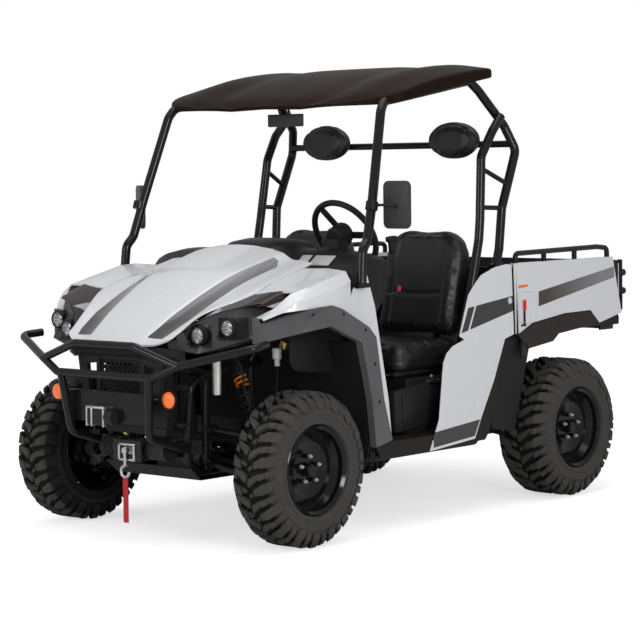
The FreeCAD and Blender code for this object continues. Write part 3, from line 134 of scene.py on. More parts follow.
class Graph:
    """One material and its nodes."""

    def __init__(self, name: str) -> None:
        """Start an empty material with its output.

        Args:
            name: The material's name.
        """
        self.material = bpy.data.materials.new(name)
        self.material.use_nodes = True
        self.tree = self.material.node_tree
        self.tree.nodes.clear()
        self.output = self.node("ShaderNodeOutputMaterial")

    def node(self, kind: str, settings: dict | None = None, inputs: dict | None = None) -> bpy.types.Node:
        """Add a node.

        Args:
            kind: Its type.
            settings: Its properties, set first.
            inputs: Values or links by name or number.

        Returns:
            The node.
        """
        made = self.tree.nodes.new(kind)
        for key, value in (settings or {}).items():
            setattr(made, key, value)
        for key, value in (inputs or {}).items():
            self.feed(made.inputs[key], value)
        return made

    def feed(self, socket: bpy.types.NodeSocket, value: object) -> None:
        """Link a socket, or set its value.

        Args:
            socket: The socket that takes it.
            value: A signal, another socket, a number or a colour.
        """
        if isinstance(value, Signal):
            self.tree.links.new(value.socket, socket)
        elif isinstance(value, bpy.types.NodeSocket):
            self.tree.links.new(value, socket)
        elif isinstance(value, tuple) and len(value) == 3 and socket.type == "RGBA":
            socket.default_value = (*value, 1.0)
        else:
            socket.default_value = value

    def place(self) -> bpy.types.NodeSocket:
        """Return the object coordinates."""
        return self.node("ShaderNodeTexCoord").outputs["Object"]

    def axes(self) -> tuple[Signal, ...]:
        """Return the object coordinates one by one."""
        split = self.node("ShaderNodeSeparateXYZ", {}, {0: self.place()})
        return tuple(Signal(self, split.outputs[index]) for index in range(3))

    def noise(self, scale: float, detail: float = 3.0, roughness: float = 0.5) -> Signal:
        """Add noise from 0 to 1.

        Args:
            scale: Features per metre.
            detail: Octaves.
            roughness: Weight of the finer octaves.

        Returns:
            The noise.
        """
        noise = self.node("ShaderNodeTexNoise", {}, {
            "Vector": self.place(), "Scale": scale, "Detail": detail, "Roughness": roughness})
        return Signal(self, noise.outputs["Fac"])

    def cells(self, scale: float) -> Signal:
        """Add the distance in a pattern of cells, this many per metre."""
        cell = self.node("ShaderNodeTexVoronoi", {}, {"Vector": self.place(), "Scale": scale})
        return Signal(self, cell.outputs["Distance"])

    def curve(self, value: Signal, low: float, high: float, points: tuple[Flat, ...]) -> Signal:
        """Read a line through points at a value.

        Args:
            value: Where to read it.
            low: Value at its first point.
            high: Value at its last point.
            points: The line's points, whose results lie from 0 to 1.

        Returns:
            The line's result.
        """
        node = self.node("ShaderNodeFloatCurve", {}, {"Value": (value - low) / (high - low)})
        line = node.mapping.curves[0]
        while len(line.points) < len(points):
            line.points.new(0.5, 0.5)
        for index, (place, result) in enumerate(points):
            line.points[index].location = ((place - low) / (high - low), result)
            line.points[index].handle_type = "VECTOR"
        node.mapping.update()
        return Signal(self, node.outputs[0])

    def blend(self, factor: Signal | float, first: object, second: object) -> bpy.types.NodeSocket:
        """Mix two colours.

        Args:
            factor: How much of the second.
            first: Colour or socket.
            second: Colour or socket.

        Returns:
            The mixed colour.
        """
        node = self.node("ShaderNodeMix", {"data_type": "RGBA"}, {0: factor, 6: first, 7: second})
        return node.outputs[2]

    def bump(self, height: Signal, distance: float, strength: float = 1.0) -> bpy.types.NodeSocket:
        """Turn a height from 0 to 1 into a normal.

        Args:
            height: The height.
            distance: Its full depth in metres.
            strength: How much of it shows.

        Returns:
            The normal.
        """
        node = self.node("ShaderNodeBump", {}, {"Height": height, "Distance": distance, "Strength": strength})
        return node.outputs[0]

    def finish(self, **inputs: object) -> bpy.types.Material:
        """Close the material with its surface shader.

        Args:
            inputs: The shader's sockets, with underscores for spaces.

        Returns:
            The material.
        """
        named = {key.replace("_", " "): value for key, value in inputs.items()}
        shader = self.node("ShaderNodeBsdfPrincipled", {}, named)
        self.feed(self.output.inputs["Surface"], shader.outputs[0])
        return self.material


@dataclass(frozen=True)
class Moulding:
    """Moulded plastic with a fine grain and slight fading."""

    name: str
    colour: Colour
    roughness: float = 0.5
    grain: float = 900.0
    depth: float = 0.00012
    fade: float = 0.25

    def material(self) -> bpy.types.Material:
        """Build the material.

        Returns:
            The material.
        """
        graph = Graph(self.name)
        patches = graph.noise(7.0, 4.0)
        grain = graph.cells(self.grain)
        lighter = tuple(min(1.0, part * (1 + self.fade) + 0.002) for part in self.colour)
        darker = tuple(part * (1 - self.fade) for part in self.colour)
        return graph.finish(
            Base_Color=graph.blend(patches, darker, lighter),
            Roughness=patches * 0.16 + (self.roughness - 0.08),
            Normal=graph.bump(grain, self.depth, 0.5),
            Specular_IOR_Level=0.16,
        )


@dataclass(frozen=True)
class Lacquer:
    """Gloss moulded panel: colour under a clear skin that dulls in patches."""

    name: str
    colour: Colour
    roughness: float = 0.28
    coat: float = 0.6
    shine: float = 0.5

    def material(self) -> bpy.types.Material:
        """Build the material."""
        graph = Graph(self.name)
        return self.close(graph, self.tint(graph))

    def tint(self, graph: Graph) -> bpy.types.NodeSocket:
        """Return the panel's own colour with a trace of variation.

        Args:
            graph: The material's nodes.

        Returns:
            The colour.
        """
        patches = graph.noise(2.0, 1.0)
        darker = tuple(part * 0.97 for part in self.colour)
        return graph.blend(patches, darker, self.colour)

    def close(self, graph: Graph, colour: bpy.types.NodeSocket) -> bpy.types.Material:
        """Finish the panel in a colour.

        Args:
            graph: The material's nodes.
            colour: The colour all over.

        Returns:
            The material.
        """
        dust = graph.noise(8.0, 3.0)
        return graph.finish(
            Base_Color=colour,
            Roughness=dust * 0.04 + (self.roughness - 0.02),
            Specular_IOR_Level=self.shine,
            Coat_Weight=self.coat,
            Coat_Roughness=0.08,
        )


@dataclass(frozen=True)
class BonnetPaint(Lacquer):
    """White bonnet with a grey band beside the crease on each side."""

    dark: Colour = (0.034, 0.034, 0.037)
    pale: Colour = (0.24, 0.24, 0.26)

    def tint(self, graph: Graph) -> bpy.types.NodeSocket:
        """Return the bonnet's colour.

        Args:
            graph: The material's nodes.

        Returns:
            The colour.
        """
        x, y, _ = graph.axes()
        across = y.absolute()
        inner = graph.curve(x, 0.58, 1.39, ((0.58, 0.277), (0.70, 0.266), (0.87, 0.247), (1.01, 0.228),
                                            (1.187, 0.201), (1.30, 0.181), (1.39, 0.160)))
        outer = graph.curve(x, 0.58, 1.39, ((0.58, 0.290), (0.65, 0.296), (0.70, 0.331), (0.87, 0.319),
                                            (1.01, 0.313), (1.187, 0.301), (1.30, 0.276), (1.39, 0.236)))
        band = across.above(inner) * across.below(outer) * x.above(0.652) * x.below(1.338)
        tone = graph.blend(((x - 0.7) / 0.55).clamped(), self.pale, self.dark)
        return graph.blend(band, Lacquer.tint(self, graph), tone)


@dataclass(frozen=True)
class QuarterPaint(Lacquer):
    """White quarter panel with its dark band and the dark patch at its foot."""

    dark: Colour = (0.016, 0.016, 0.017)

    def tint(self, graph: Graph) -> bpy.types.NodeSocket:
        """Return the panel's colour.

        Args:
            graph: The material's nodes.

        Returns:
            The colour.
        """
        x, _, z = graph.axes()
        top = (x + 0.158) * -0.112 + 0.947
        low = (x + 0.106) * -0.204 + 0.834
        nose = (z - 0.947) * -0.46 - 0.158
        band = z.below(top) * z.above(low) * x.below(nose)
        gap = (x - (nose - 0.052)).absolute().below(0.006)
        patch = z.below((x + 0.246) * -0.085 + 0.432) * z.above((x - 0.109) * -0.078 + 0.334)
        patch = patch * x.below(0.104) * x.above((z - 0.432) * -0.566 - 0.240)
        mask = (band * (1.0 - gap)).larger(patch)
        return graph.blend(mask, Lacquer.tint(self, graph), self.dark)


@dataclass(frozen=True)
class BedPaint(Lacquer):
    """White bed side with a band that fades from brown to grey."""

    brown: Colour = (0.035, 0.018, 0.012)
    grey: Colour = (0.20, 0.20, 0.21)

    def tint(self, graph: Graph) -> bpy.types.NodeSocket:
        """Return the bed side's colour.

        Args:
            graph: The material's nodes.

        Returns:
            The colour.
        """
        x, _, z = graph.axes()
        top = (x + 0.677) * -0.1457 + 0.993
        low = (x + 0.676) * -0.1718 + 0.922
        band = z.below(top) * z.above(low) * x.below(-0.690) * x.above(-1.322)
        tone = graph.blend(((x + 1.20) / 0.45).clamped(), self.grey, self.brown)
        return graph.blend(band, Lacquer.tint(self, graph), tone)


@dataclass(frozen=True)
class BrowPaint(Lacquer):
    """Dark brow over each lamp with a pale clear strip along its lower edge."""

    pale: Colour = (0.42, 0.41, 0.46)

    def tint(self, graph: Graph) -> bpy.types.NodeSocket:
        """Return the brow's colour.

        Args:
            graph: The material's nodes.

        Returns:
            The colour.
        """
        x, _, z = graph.axes()
        strip = z.below((x - 1.209) * -0.224 + 0.992, 0.003) * x.below(1.190)
        rib = (x * 90.0 + z * 260.0).sine() * 0.12 + 0.88
        return graph.blend(strip * rib, Lacquer.tint(self, graph), self.pale)


@dataclass(frozen=True)
class PocketPaint(Lacquer):
    """Grey lamp housing, black in the pockets round its two lamps."""

    black: Colour = (0.004, 0.004, 0.0045)
    lamps: tuple[Flat, ...] = ((0.402, 0.902), (0.522, 0.935))

    def tint(self, graph: Graph) -> bpy.types.NodeSocket:
        """Return the housing's colour.

        Args:
            graph: The material's nodes.

        Returns:
            The colour.
        """
        _, y, z = graph.axes()
        across = y.absolute()
        mask = None
        for middle, height in self.lamps:
            side = (across - middle + (z - height) * 0.35).absolute().below(0.050, 0.002)
            pocket = side * (z - height + 0.006).absolute().below(0.046, 0.002)
            mask = pocket if mask is None else mask.larger(pocket)
        return graph.blend(mask, Lacquer.tint(self, graph), self.black)


@dataclass(frozen=True)
class PowderCoat:
    """Baked coat on steel, with fine texture and dust."""

    name: str
    colour: Colour
    roughness: float = 0.3
    texture: float = 0.00006

    def material(self) -> bpy.types.Material:
        """Build the material.

        Returns:
            The material.
        """
        graph = Graph(self.name)
        dust = graph.noise(14.0, 5.0, 0.6)
        peel = graph.noise(700.0, 2.0)
        dusty = tuple(part + 0.005 for part in self.colour)
        return graph.finish(
            Base_Color=graph.blend(dust, self.colour, dusty),
            Roughness=dust * 0.16 + (self.roughness - 0.08),
            Normal=graph.bump(peel, self.texture, 0.4),
            Specular_IOR_Level=0.28,
        )


@dataclass(frozen=True)
class BareMetal:
    """Metal left bare or plated, with brushed or cast skin and grime."""

    name: str
    colour: Colour
    roughness: float = 0.38
    grime: float = 0.5

    def material(self) -> bpy.types.Material:
        """Build the material.

        Returns:
            The material.
        """
        graph = Graph(self.name)
        skin = graph.noise(420.0, 3.0, 0.6)
        dirt = graph.noise(30.0, 6.0, 0.65)
        dark = tuple(part * 0.35 for part in self.colour)
        mask = (dirt - 0.5) * (4.0 * self.grime)
        return graph.finish(
            Base_Color=graph.blend(mask.clamped(), self.colour, dark),
            Roughness=skin * 0.2 + (self.roughness - 0.1),
            Metallic=1.0,
            Normal=graph.bump(skin, 0.00015, 0.4),
        )


@dataclass(frozen=True)
class Rubber:
    """Tyre rubber: grey bloom, scuffs, moulded fine lines and painted shade in the tread grooves."""

    name: str
    colour: Colour
    roughness: float = 0.72

    def material(self) -> bpy.types.Material:
        """Build the material.

        Returns:
            The material.
        """
        graph = Graph(self.name)
        bloom = graph.noise(9.0, 5.0, 0.6)
        pores = graph.noise(900.0, 3.0)
        bloomed = tuple(part * 1.9 + 0.01 for part in self.colour)
        x, y, z = graph.axes()
        far, high = x.absolute() - AXLE, z - WHEEL_RADIUS
        # Painted shade: this mask marks the rubber below the lug tops across the tread's width, where shade
        # falls in the grooves.
        inside = (far * far + high * high).below(0.0985, 0.004)
        groove = inside * (y.absolute() - 0.657).absolute().below(0.100, 0.01)
        # Painted shade colour for the grooves, 0.3 of the rubber's colour, blended in over the bloom.
        deep = tuple(part * 0.3 for part in self.colour)
        return graph.finish(
            Base_Color=graph.blend(groove, graph.blend(bloom, self.colour, bloomed), deep),
            Roughness=bloom * 0.2 + (self.roughness - 0.1),
            Normal=graph.bump(pores, 0.0003, 0.5),
            Specular_IOR_Level=0.2,
        )


@dataclass(frozen=True)
class Vinyl:
    """Seat cover with a pebbled leather grain."""

    name: str
    colour: Colour
    roughness: float = 0.42

    def material(self) -> bpy.types.Material:
        """Build the material.

        Returns:
            The material.
        """
        graph = Graph(self.name)
        pebble = graph.cells(520.0)
        crease = graph.noise(60.0, 5.0, 0.6)
        handled = graph.noise(5.0, 3.0)
        height = pebble * 0.7 + crease * 0.2
        worn = tuple(part * 1.5 + 0.004 for part in self.colour)
        return graph.finish(
            Base_Color=graph.blend(handled, self.colour, worn),
            Roughness=handled * 0.16 + (self.roughness - 0.08),
            Normal=graph.bump(height, 0.0003, 0.4),
            Specular_IOR_Level=0.5,
        )


@dataclass(frozen=True)
class Lens:
    """Clear or dyed moulded lens with fine prisms."""

    name: str
    colour: Colour
    prism: float = 260.0
    transmission: float = 0.0
    glow: float = 0.0

    def material(self) -> bpy.types.Material:
        """Build the material.

        Returns:
            The material.
        """
        graph = Graph(self.name)
        facets = graph.cells(self.prism)
        mottle = graph.noise(80.0, 3.0)
        bright = tuple(min(1.0, part * 1.6 + 0.02) for part in self.colour)
        return graph.finish(
            Base_Color=graph.blend(mottle, self.colour, bright),
            Roughness=mottle * 0.1 + 0.05,
            Normal=graph.bump(facets, 0.002, 0.5),
            Coat_Weight=1.0,
            Coat_Roughness=0.03,
            Transmission_Weight=self.transmission,
            Emission_Color=self.colour,
            Emission_Strength=self.glow,
        )


@dataclass(frozen=True)
class Webbing:
    """Woven strap with its ribs across."""

    name: str
    colour: Colour

    def material(self) -> bpy.types.Material:
        """Build the material.

        Returns:
            The material.
        """
        graph = Graph(self.name)
        _, y, z = graph.axes()
        ribs = (z * 2600.0).sine() * 0.5 + 0.5
        cords = (y * 1900.0).sine() * 0.5 + 0.5
        dirt = graph.noise(25.0, 4.0)
        darker = tuple(part * 0.6 for part in self.colour)
        return graph.finish(
            Base_Color=graph.blend(dirt, self.colour, darker),
            Roughness=dirt * 0.1 + 0.7,
            Normal=graph.bump(ribs * cords, 0.0006, 0.7),
        )


class Finish(Enum):
    """Every finish of the vehicle."""

    BLACK_TUBE = PowderCoat("black_tube", (0.007, 0.007, 0.0075), 0.2, 0.00002)
    DARK_STEEL = PowderCoat("coated_steel", (0.013, 0.013, 0.0135), 0.42, 0.0001)
    RIM_ENAMEL = PowderCoat("rim_enamel", (0.0045, 0.0045, 0.005), 0.14, 0.00001)
    CAST = BareMetal("cast_alloy", (0.34, 0.33, 0.32), 0.5, grime=0.9)
    ZINC = BareMetal("zinc_plate", (0.62, 0.62, 0.6), 0.34, grime=0.4)
    WHITE_BODY = Lacquer("white_lacquer", WHITE)
    ROOF = Lacquer("roof_brown", (0.013, 0.0065, 0.004), 0.40, 0.0, 0.045)
    GREY_TRIM = Moulding("flare_grey", (0.105, 0.105, 0.109), 0.42)
    BROWN_TRIM = Moulding("brown_trim", (0.026, 0.020, 0.018), 0.38)
    SILL_PLASTIC = Moulding("sill_plastic", (0.016, 0.013, 0.0115), 0.4)
    NOSE_PLASTIC = Moulding("nose_plastic", (0.020, 0.020, 0.021), 0.4)
    BLACK_PLASTIC = Moulding("black_moulding", (0.013, 0.013, 0.0135), 0.46)
    DASH_PLASTIC = Moulding("dash_plastic", (0.014, 0.0125, 0.012), 0.4)
    RUBBER = Rubber("tread_rubber", (0.033, 0.0315, 0.030))
    VINYL = Vinyl("pad_vinyl", (0.007, 0.007, 0.0075), 0.42)
    CLEAR_LENS = Lens("lamp_glass", (0.82, 0.85, 0.9))
    BONNET = BonnetPaint("bonnet_paint", WHITE)
    QUARTER = QuarterPaint("quarter_paint", WHITE)
    BED_SIDE = BedPaint("bed_paint", WHITE)
    SPRING_BLACK = PowderCoat("spring_black", (0.012, 0.012, 0.012), 0.34)
    SPRING_ORANGE = PowderCoat("spring_orange", (0.62, 0.16, 0.01), 0.36)
    GOLD_ZINC = BareMetal("gold_zinc", (0.72, 0.52, 0.2), 0.34, grime=0.3)
    BOOT_RUBBER = Moulding("boot_rubber", (0.016, 0.016, 0.016), 0.55)
    CHROME = BareMetal("lamp_chrome", (0.50, 0.51, 0.52), 0.12, grime=0.0)
    LAMP_GLASS = Lens("lamp_clear", (0.92, 0.94, 0.97), 120.0, 0.96)
    WEBBING = Webbing("red_webbing", (0.62, 0.02, 0.025))
    AMBER_LENS = Lens("amber_glass", (0.90, 0.13, 0.004), glow=0.2)
    LAMP_HOUSING = PocketPaint("lamp_housing", (0.045, 0.045, 0.047), 0.34, 0.1, 0.2)
    BROW = BrowPaint("brow_lacquer", (0.018, 0.011, 0.009), 0.3, 0.1, 0.25)
    WHITE_PLASTIC = Moulding("white_plastic", (0.62, 0.63, 0.64), 0.35)
    LABEL_PLATE = Moulding("blank_plate", (0.42, 0.42, 0.42), 0.3, 300.0, 0.00002)
    ORANGE_STRIP = Moulding("orange_strip", (0.85, 0.18, 0.02), 0.3, 300.0, 0.00002)
    RED_PLASTIC = Moulding("red_plastic", (0.72, 0.02, 0.015), 0.3, 300.0, 0.00002)
    DIAL = Moulding("gauge_dial", (0.03, 0.032, 0.036), 0.2)
    SATIN_GREY = Moulding("satin_grey", (0.11, 0.11, 0.115), 0.35)
    MIRROR_BACK = Moulding("mirror_back", (0.045, 0.045, 0.047), 0.36)
    RED_LENS = Lens("red_glass", (0.16, 0.006, 0.005))

    @property
    def built(self) -> bpy.types.Material:
        """Return the finish's material, made once."""
        known = bpy.data.materials.get(self.value.name)
        return known or self.value.material()


DRESS: dict[Finish, str] = {
    Finish.BLACK_TUBE: "frame_rails frame_front frame_rear cage bumper control_arms bed_rails",
    Finish.DARK_STEEL: "skid_plate steering_rack shock_absorbers drive_shafts radiator exhaust winch "
                       "steering_column shift_lever bed_frame",
    Finish.CAST: "rear_uprights gearboxes engine knuckle_left knuckle_right",
    Finish.ZINC: "winch_hook tie_rod_left tie_rod_right",
    Finish.WHITE_BODY: "fenders",
    Finish.WEBBING: "winch_strap",
    Finish.BROW: "lamp_brows",
    Finish.GREY_TRIM: "arch_trims",
    Finish.BLACK_PLASTIC: "splash_panels grille floor_pan seat_base mirrors steering_wheel bed_tub tailgate",
    Finish.NOSE_PLASTIC: "nose",
    Finish.LAMP_HOUSING: "headlamps",
    Finish.CLEAR_LENS: "lamp_lenses",
    Finish.AMBER_LENS: "indicators",
    Finish.ROOF: "roof",
    Finish.QUARTER: "quarter_panels",
    Finish.SILL_PLASTIC: "sills",
    Finish.DASH_PLASTIC: "dashboard",
    Finish.VINYL: "seat_cushions seat_backs headrests",
    Finish.BONNET: "hood",
    Finish.BED_SIDE: "bed_sides",
    Finish.BROWN_TRIM: "bed_trims",
    Finish.RED_LENS: "tail_lamps",
    Finish.RUBBER: "tyre_front_left tyre_front_right tyre_rear_left tyre_rear_right",
    Finish.RIM_ENAMEL: "rim_front_left rim_front_right rim_rear_left rim_rear_right",
}

SLOTS: dict[str, tuple[Finish, ...]] = {
    "black_frame": (Finish.BLACK_TUBE,),
    "dark_steel": (Finish.DARK_STEEL, Finish.SPRING_BLACK),
    "rim_black": (Finish.RIM_ENAMEL,),
    "cast_metal": (Finish.CAST,),
    "zinc": (Finish.ZINC, Finish.GOLD_ZINC),
    "white_body": (Finish.WHITE_BODY, Finish.BONNET, Finish.QUARTER, Finish.BED_SIDE, Finish.WHITE_PLASTIC),
    "roof_plastic": (Finish.ROOF,),
    "grey_trim": (Finish.GREY_TRIM, Finish.BROWN_TRIM, Finish.LAMP_HOUSING, Finish.BROW, Finish.SATIN_GREY),
    "tyre_rubber": (Finish.RUBBER,),
    "seat_vinyl": (Finish.VINYL,),
    "strap_webbing": (Finish.WEBBING,),
    "lens_clear": (Finish.CLEAR_LENS, Finish.LAMP_GLASS, Finish.CHROME),
    "lens_amber": (Finish.AMBER_LENS, Finish.ORANGE_STRIP, Finish.SPRING_ORANGE),
    "lens_red": (Finish.RED_LENS, Finish.RED_PLASTIC),
}


def slot_of(finish: Finish) -> str:
    """Return the slot that a finish belongs to."""
    return next((slot for slot, finishes in SLOTS.items() if finish in finishes), "black_plastic")


def dress(piece: bpy.types.Object, material: bpy.types.Material) -> None:
    """Put one material on every face of a piece.

    Args:
        piece: The object.
        material: Its only material.
    """
    if not piece.material_slots:
        piece.data.materials.append(material)
    for place in piece.material_slots:
        place.material = material


# Mesh building


def soften(mesh: bmesh.types.BMesh, offset: float, angle: float = -1.0, segments: int = 2) -> None:
    """Round a mesh's edges.

    Args:
        mesh: The mesh.
        offset: Radius of the edges.
        angle: Angle between two faces above which their edge is rounded.
        segments: Steps in each edge.
    """
    edges = [edge for edge in mesh.edges if edge.calc_face_angle(0.0) > angle]
    bmesh.ops.bevel(mesh, geom=edges, offset=offset, segments=segments, affect="EDGES", profile=0.5,
                    material=-1)


def ladder(mesh: bmesh.types.BMesh, rings: list[list[bmesh.types.BMVert]]) -> None:
    """Join rings of corners into a closed form with its normals outward.

    Args:
        mesh: The mesh that has the corners.
        rings: The rings, in order.
    """
    for near, far in zip(rings, rings[1:]):
        for step in range(len(near)):
            mesh.faces.new((near[step - 1], near[step], far[step], far[step - 1]))
    mesh.faces.new(rings[0])
    mesh.faces.new(rings[-1])
    bmesh.ops.recalc_face_normals(mesh, faces=mesh.faces[:])


class Form:
    """Mesh in the making, in the vehicle's own metres."""

    def __init__(self) -> None:
        """Start empty."""
        self.mesh = bmesh.new()

    def box(self, low: Point, high: Point, bevel: float = 0.0, turn: Matrix | None = None,
            segments: int = 2) -> None:
        """Add a box.

        Args:
            low: Lowest corner.
            high: Highest corner.
            bevel: Radius of its edges.
            turn: Turn about its centre.
            segments: Steps in each rounded edge.
        """
        size = [b - a for a, b in zip(low, high)]
        centre = Vector([(a + b) / 2 for a, b in zip(low, high)])
        part = bmesh.new()
        bmesh.ops.create_cube(part, size=1.0, matrix=Matrix.Diagonal((*size, 1.0)))
        if bevel:
            soften(part, bevel, segments=segments)
        self.take(part, Matrix.Translation(centre) @ (turn or Matrix.Identity(3)).to_4x4())

    def take(self, part: bmesh.types.BMesh, place: Matrix = STILL) -> None:
        """Move a part into place and add it.

        Args:
            part: The part, which is used up.
            place: Where it goes.
        """
        bmesh.ops.transform(part, matrix=place, verts=part.verts[:])
        kept = bpy.data.meshes.new("part")
        part.to_mesh(kept)
        part.free()
        self.mesh.from_mesh(kept)
        bpy.data.meshes.remove(kept)

    def lathe(self, outline: list[Flat], centre: Point, axis: Point, steps: int = 48,
              closed: bool = False) -> None:
        """Spin an outline round an axis.

        Args:
            outline: Places along the axis with their radii.
            centre: Where the axis starts.
            axis: Its direction.
            steps: Steps round.
            closed: Whether the outline's last point joins its first.
        """
        part = bmesh.new()
        rings = outline + outline[:1] if closed else outline
        points = [part.verts.new((radius, 0, along)) for along, radius in rings]
        edges = [part.edges.new(pair) for pair in zip(points, points[1:])]
        bmesh.ops.spin(part, geom=points + edges, cent=(0, 0, 0), axis=(0, 0, 1), angle=math.tau,
                       steps=steps, use_merge=True)
        bmesh.ops.remove_doubles(part, verts=part.verts[:], dist=1e-6)
        bmesh.ops.recalc_face_normals(part, faces=part.faces[:])
        turn = Vector((0, 0, 1)).rotation_difference(Vector(axis)).to_matrix().to_4x4()
        self.take(part, Matrix.Translation(centre) @ turn)

    def rod(self, start: Point, end: Point, radius: float, far: float | None = None, steps: int = 24,
            bevel: float = 0.0) -> None:
        """Add a round bar between two points.

        Args:
            start: First end.
            end: Second end.
            radius: Radius at the start.
            far: Radius at the end, the same if left out.
            steps: Sides round.
            bevel: Chamfer of its rims.
        """
        run = Vector(end) - Vector(start)
        far = radius if far is None else far
        length = run.length
        outline = [(0.0, 0.0), (0.0, radius - bevel), (bevel, radius), (length - bevel, far),
                   (length, far - bevel), (length, 0.0)]
        if not bevel:
            outline = [(0.0, 0.0), (0.0, radius), (length, far), (length, 0.0)]
        self.lathe(outline, start, tuple(run.normalized()), steps)

    def sweep(self, points: list[Point], radius: float, sides: int = 12) -> None:
        """Run a round section along points and cap it.

        Args:
            points: The path.
            radius: The section's radius.
            sides: The section's sides.
        """
        spots = [Vector(point) for point in points]
        rings = []
        side = Vector((0, 0, 1))
        part = bmesh.new()
        for index, spot in enumerate(spots):
            ahead = spots[min(index + 1, len(spots) - 1)] - spots[max(index - 1, 0)]
            ahead.normalize()
            side = side - ahead * side.dot(ahead)
            if side.length < 1e-3:
                side = ahead.orthogonal()
            side.normalize()
            across = ahead.cross(side)
            turns = [math.tau * step / sides for step in range(sides)]
            rings.append([part.verts.new(spot + radius * (math.cos(turn) * side + math.sin(turn) * across))
                          for turn in turns])
        ladder(part, rings)
        self.take(part)

    def plate(self, outline: list[Flat], plane: str, start: float, end: float, bevel: float = 0.0) -> None:
        """Extrude an outline.

        Args:
            outline: Its corners.
            plane: The plane that they lie in: XZ, XY or YZ.
            start: Offset of one face.
            end: Offset of the other.
            bevel: Radius of its edges.
        """
        place = {
            "XZ": lambda a, b, c: (a, c, b), "XY": lambda a, b, c: (a, b, c), "YZ": lambda a, b, c: (c, a, b),
        }[plane]
        part = bmesh.new()
        face = part.faces.new([part.verts.new(place(*corner, start)) for corner in outline])
        made = bmesh.ops.extrude_face_region(part, geom=[face])
        moved = [item for item in made["geom"] if isinstance(item, bmesh.types.BMVert)]
        bmesh.ops.translate(part, vec=place(0.0, 0.0, end - start), verts=moved)
        if bevel:
            soften(part, bevel)
        bmesh.ops.recalc_face_normals(part, faces=part.faces[:])
        self.take(part)

    def skin(self, rows: list[list[Point]]) -> None:
        """Join rows of points, each a closed section, into a closed form.

        Args:
            rows: The rows, from one end to the other.
        """
        part = bmesh.new()
        ladder(part, [[part.verts.new(point) for point in row] for row in rows])
        self.take(part)

    def both(self) -> None:
        """Add the mirror image across the centre plane."""
        copy = self.mesh.copy()
        bmesh.ops.scale(copy, vec=(1, -1, 1), verts=copy.verts[:])
        bmesh.ops.reverse_faces(copy, faces=copy.faces[:])
        self.take(copy)

    def piece(self, name: str, finish: "Finish", body: str, stands_for: tuple[str, ...] = (),
              sharp: float = 35.0) -> bpy.types.Object:
        """Turn the form into a piece of the vehicle.

        Args:
            name: The piece's name.
            finish: Its finish.
            body: The body that it rides on.
            stands_for: Nodes that it replaces.
            sharp: Angle in degrees above which an edge stays sharp.

        Returns:
            The piece.
        """
        for face in self.mesh.faces:
            face.smooth = True
        for edge in self.mesh.edges:
            edge.smooth = edge.is_manifold and edge.calc_face_angle(0.0) < math.radians(sharp)
        data = bpy.data.meshes.new(name)
        self.mesh.to_mesh(data)
        self.mesh.free()
        made = bpy.data.objects.new(name, data)
        bpy.context.collection.objects.link(made)
        data.materials.append(finish.built)
        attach(made, body)
        slot_of(finish)
        if stands_for:
            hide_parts(*stands_for)
        LOG.info("%s: %d faces on %s", name, len(data.polygons), body)
        return made


def mirrored(body: str, *pieces: tuple[Form, str, Finish]) -> None:
    """Mirror each form to the other side and make it a piece.

    Args:
        body: The body that they ride on.
        pieces: Forms with their names and finishes.
    """
    for form, name, finish in pieces:
        form.both()
        form.piece(name, finish, body)


# Wheels


Station = tuple[float, float, float, float]


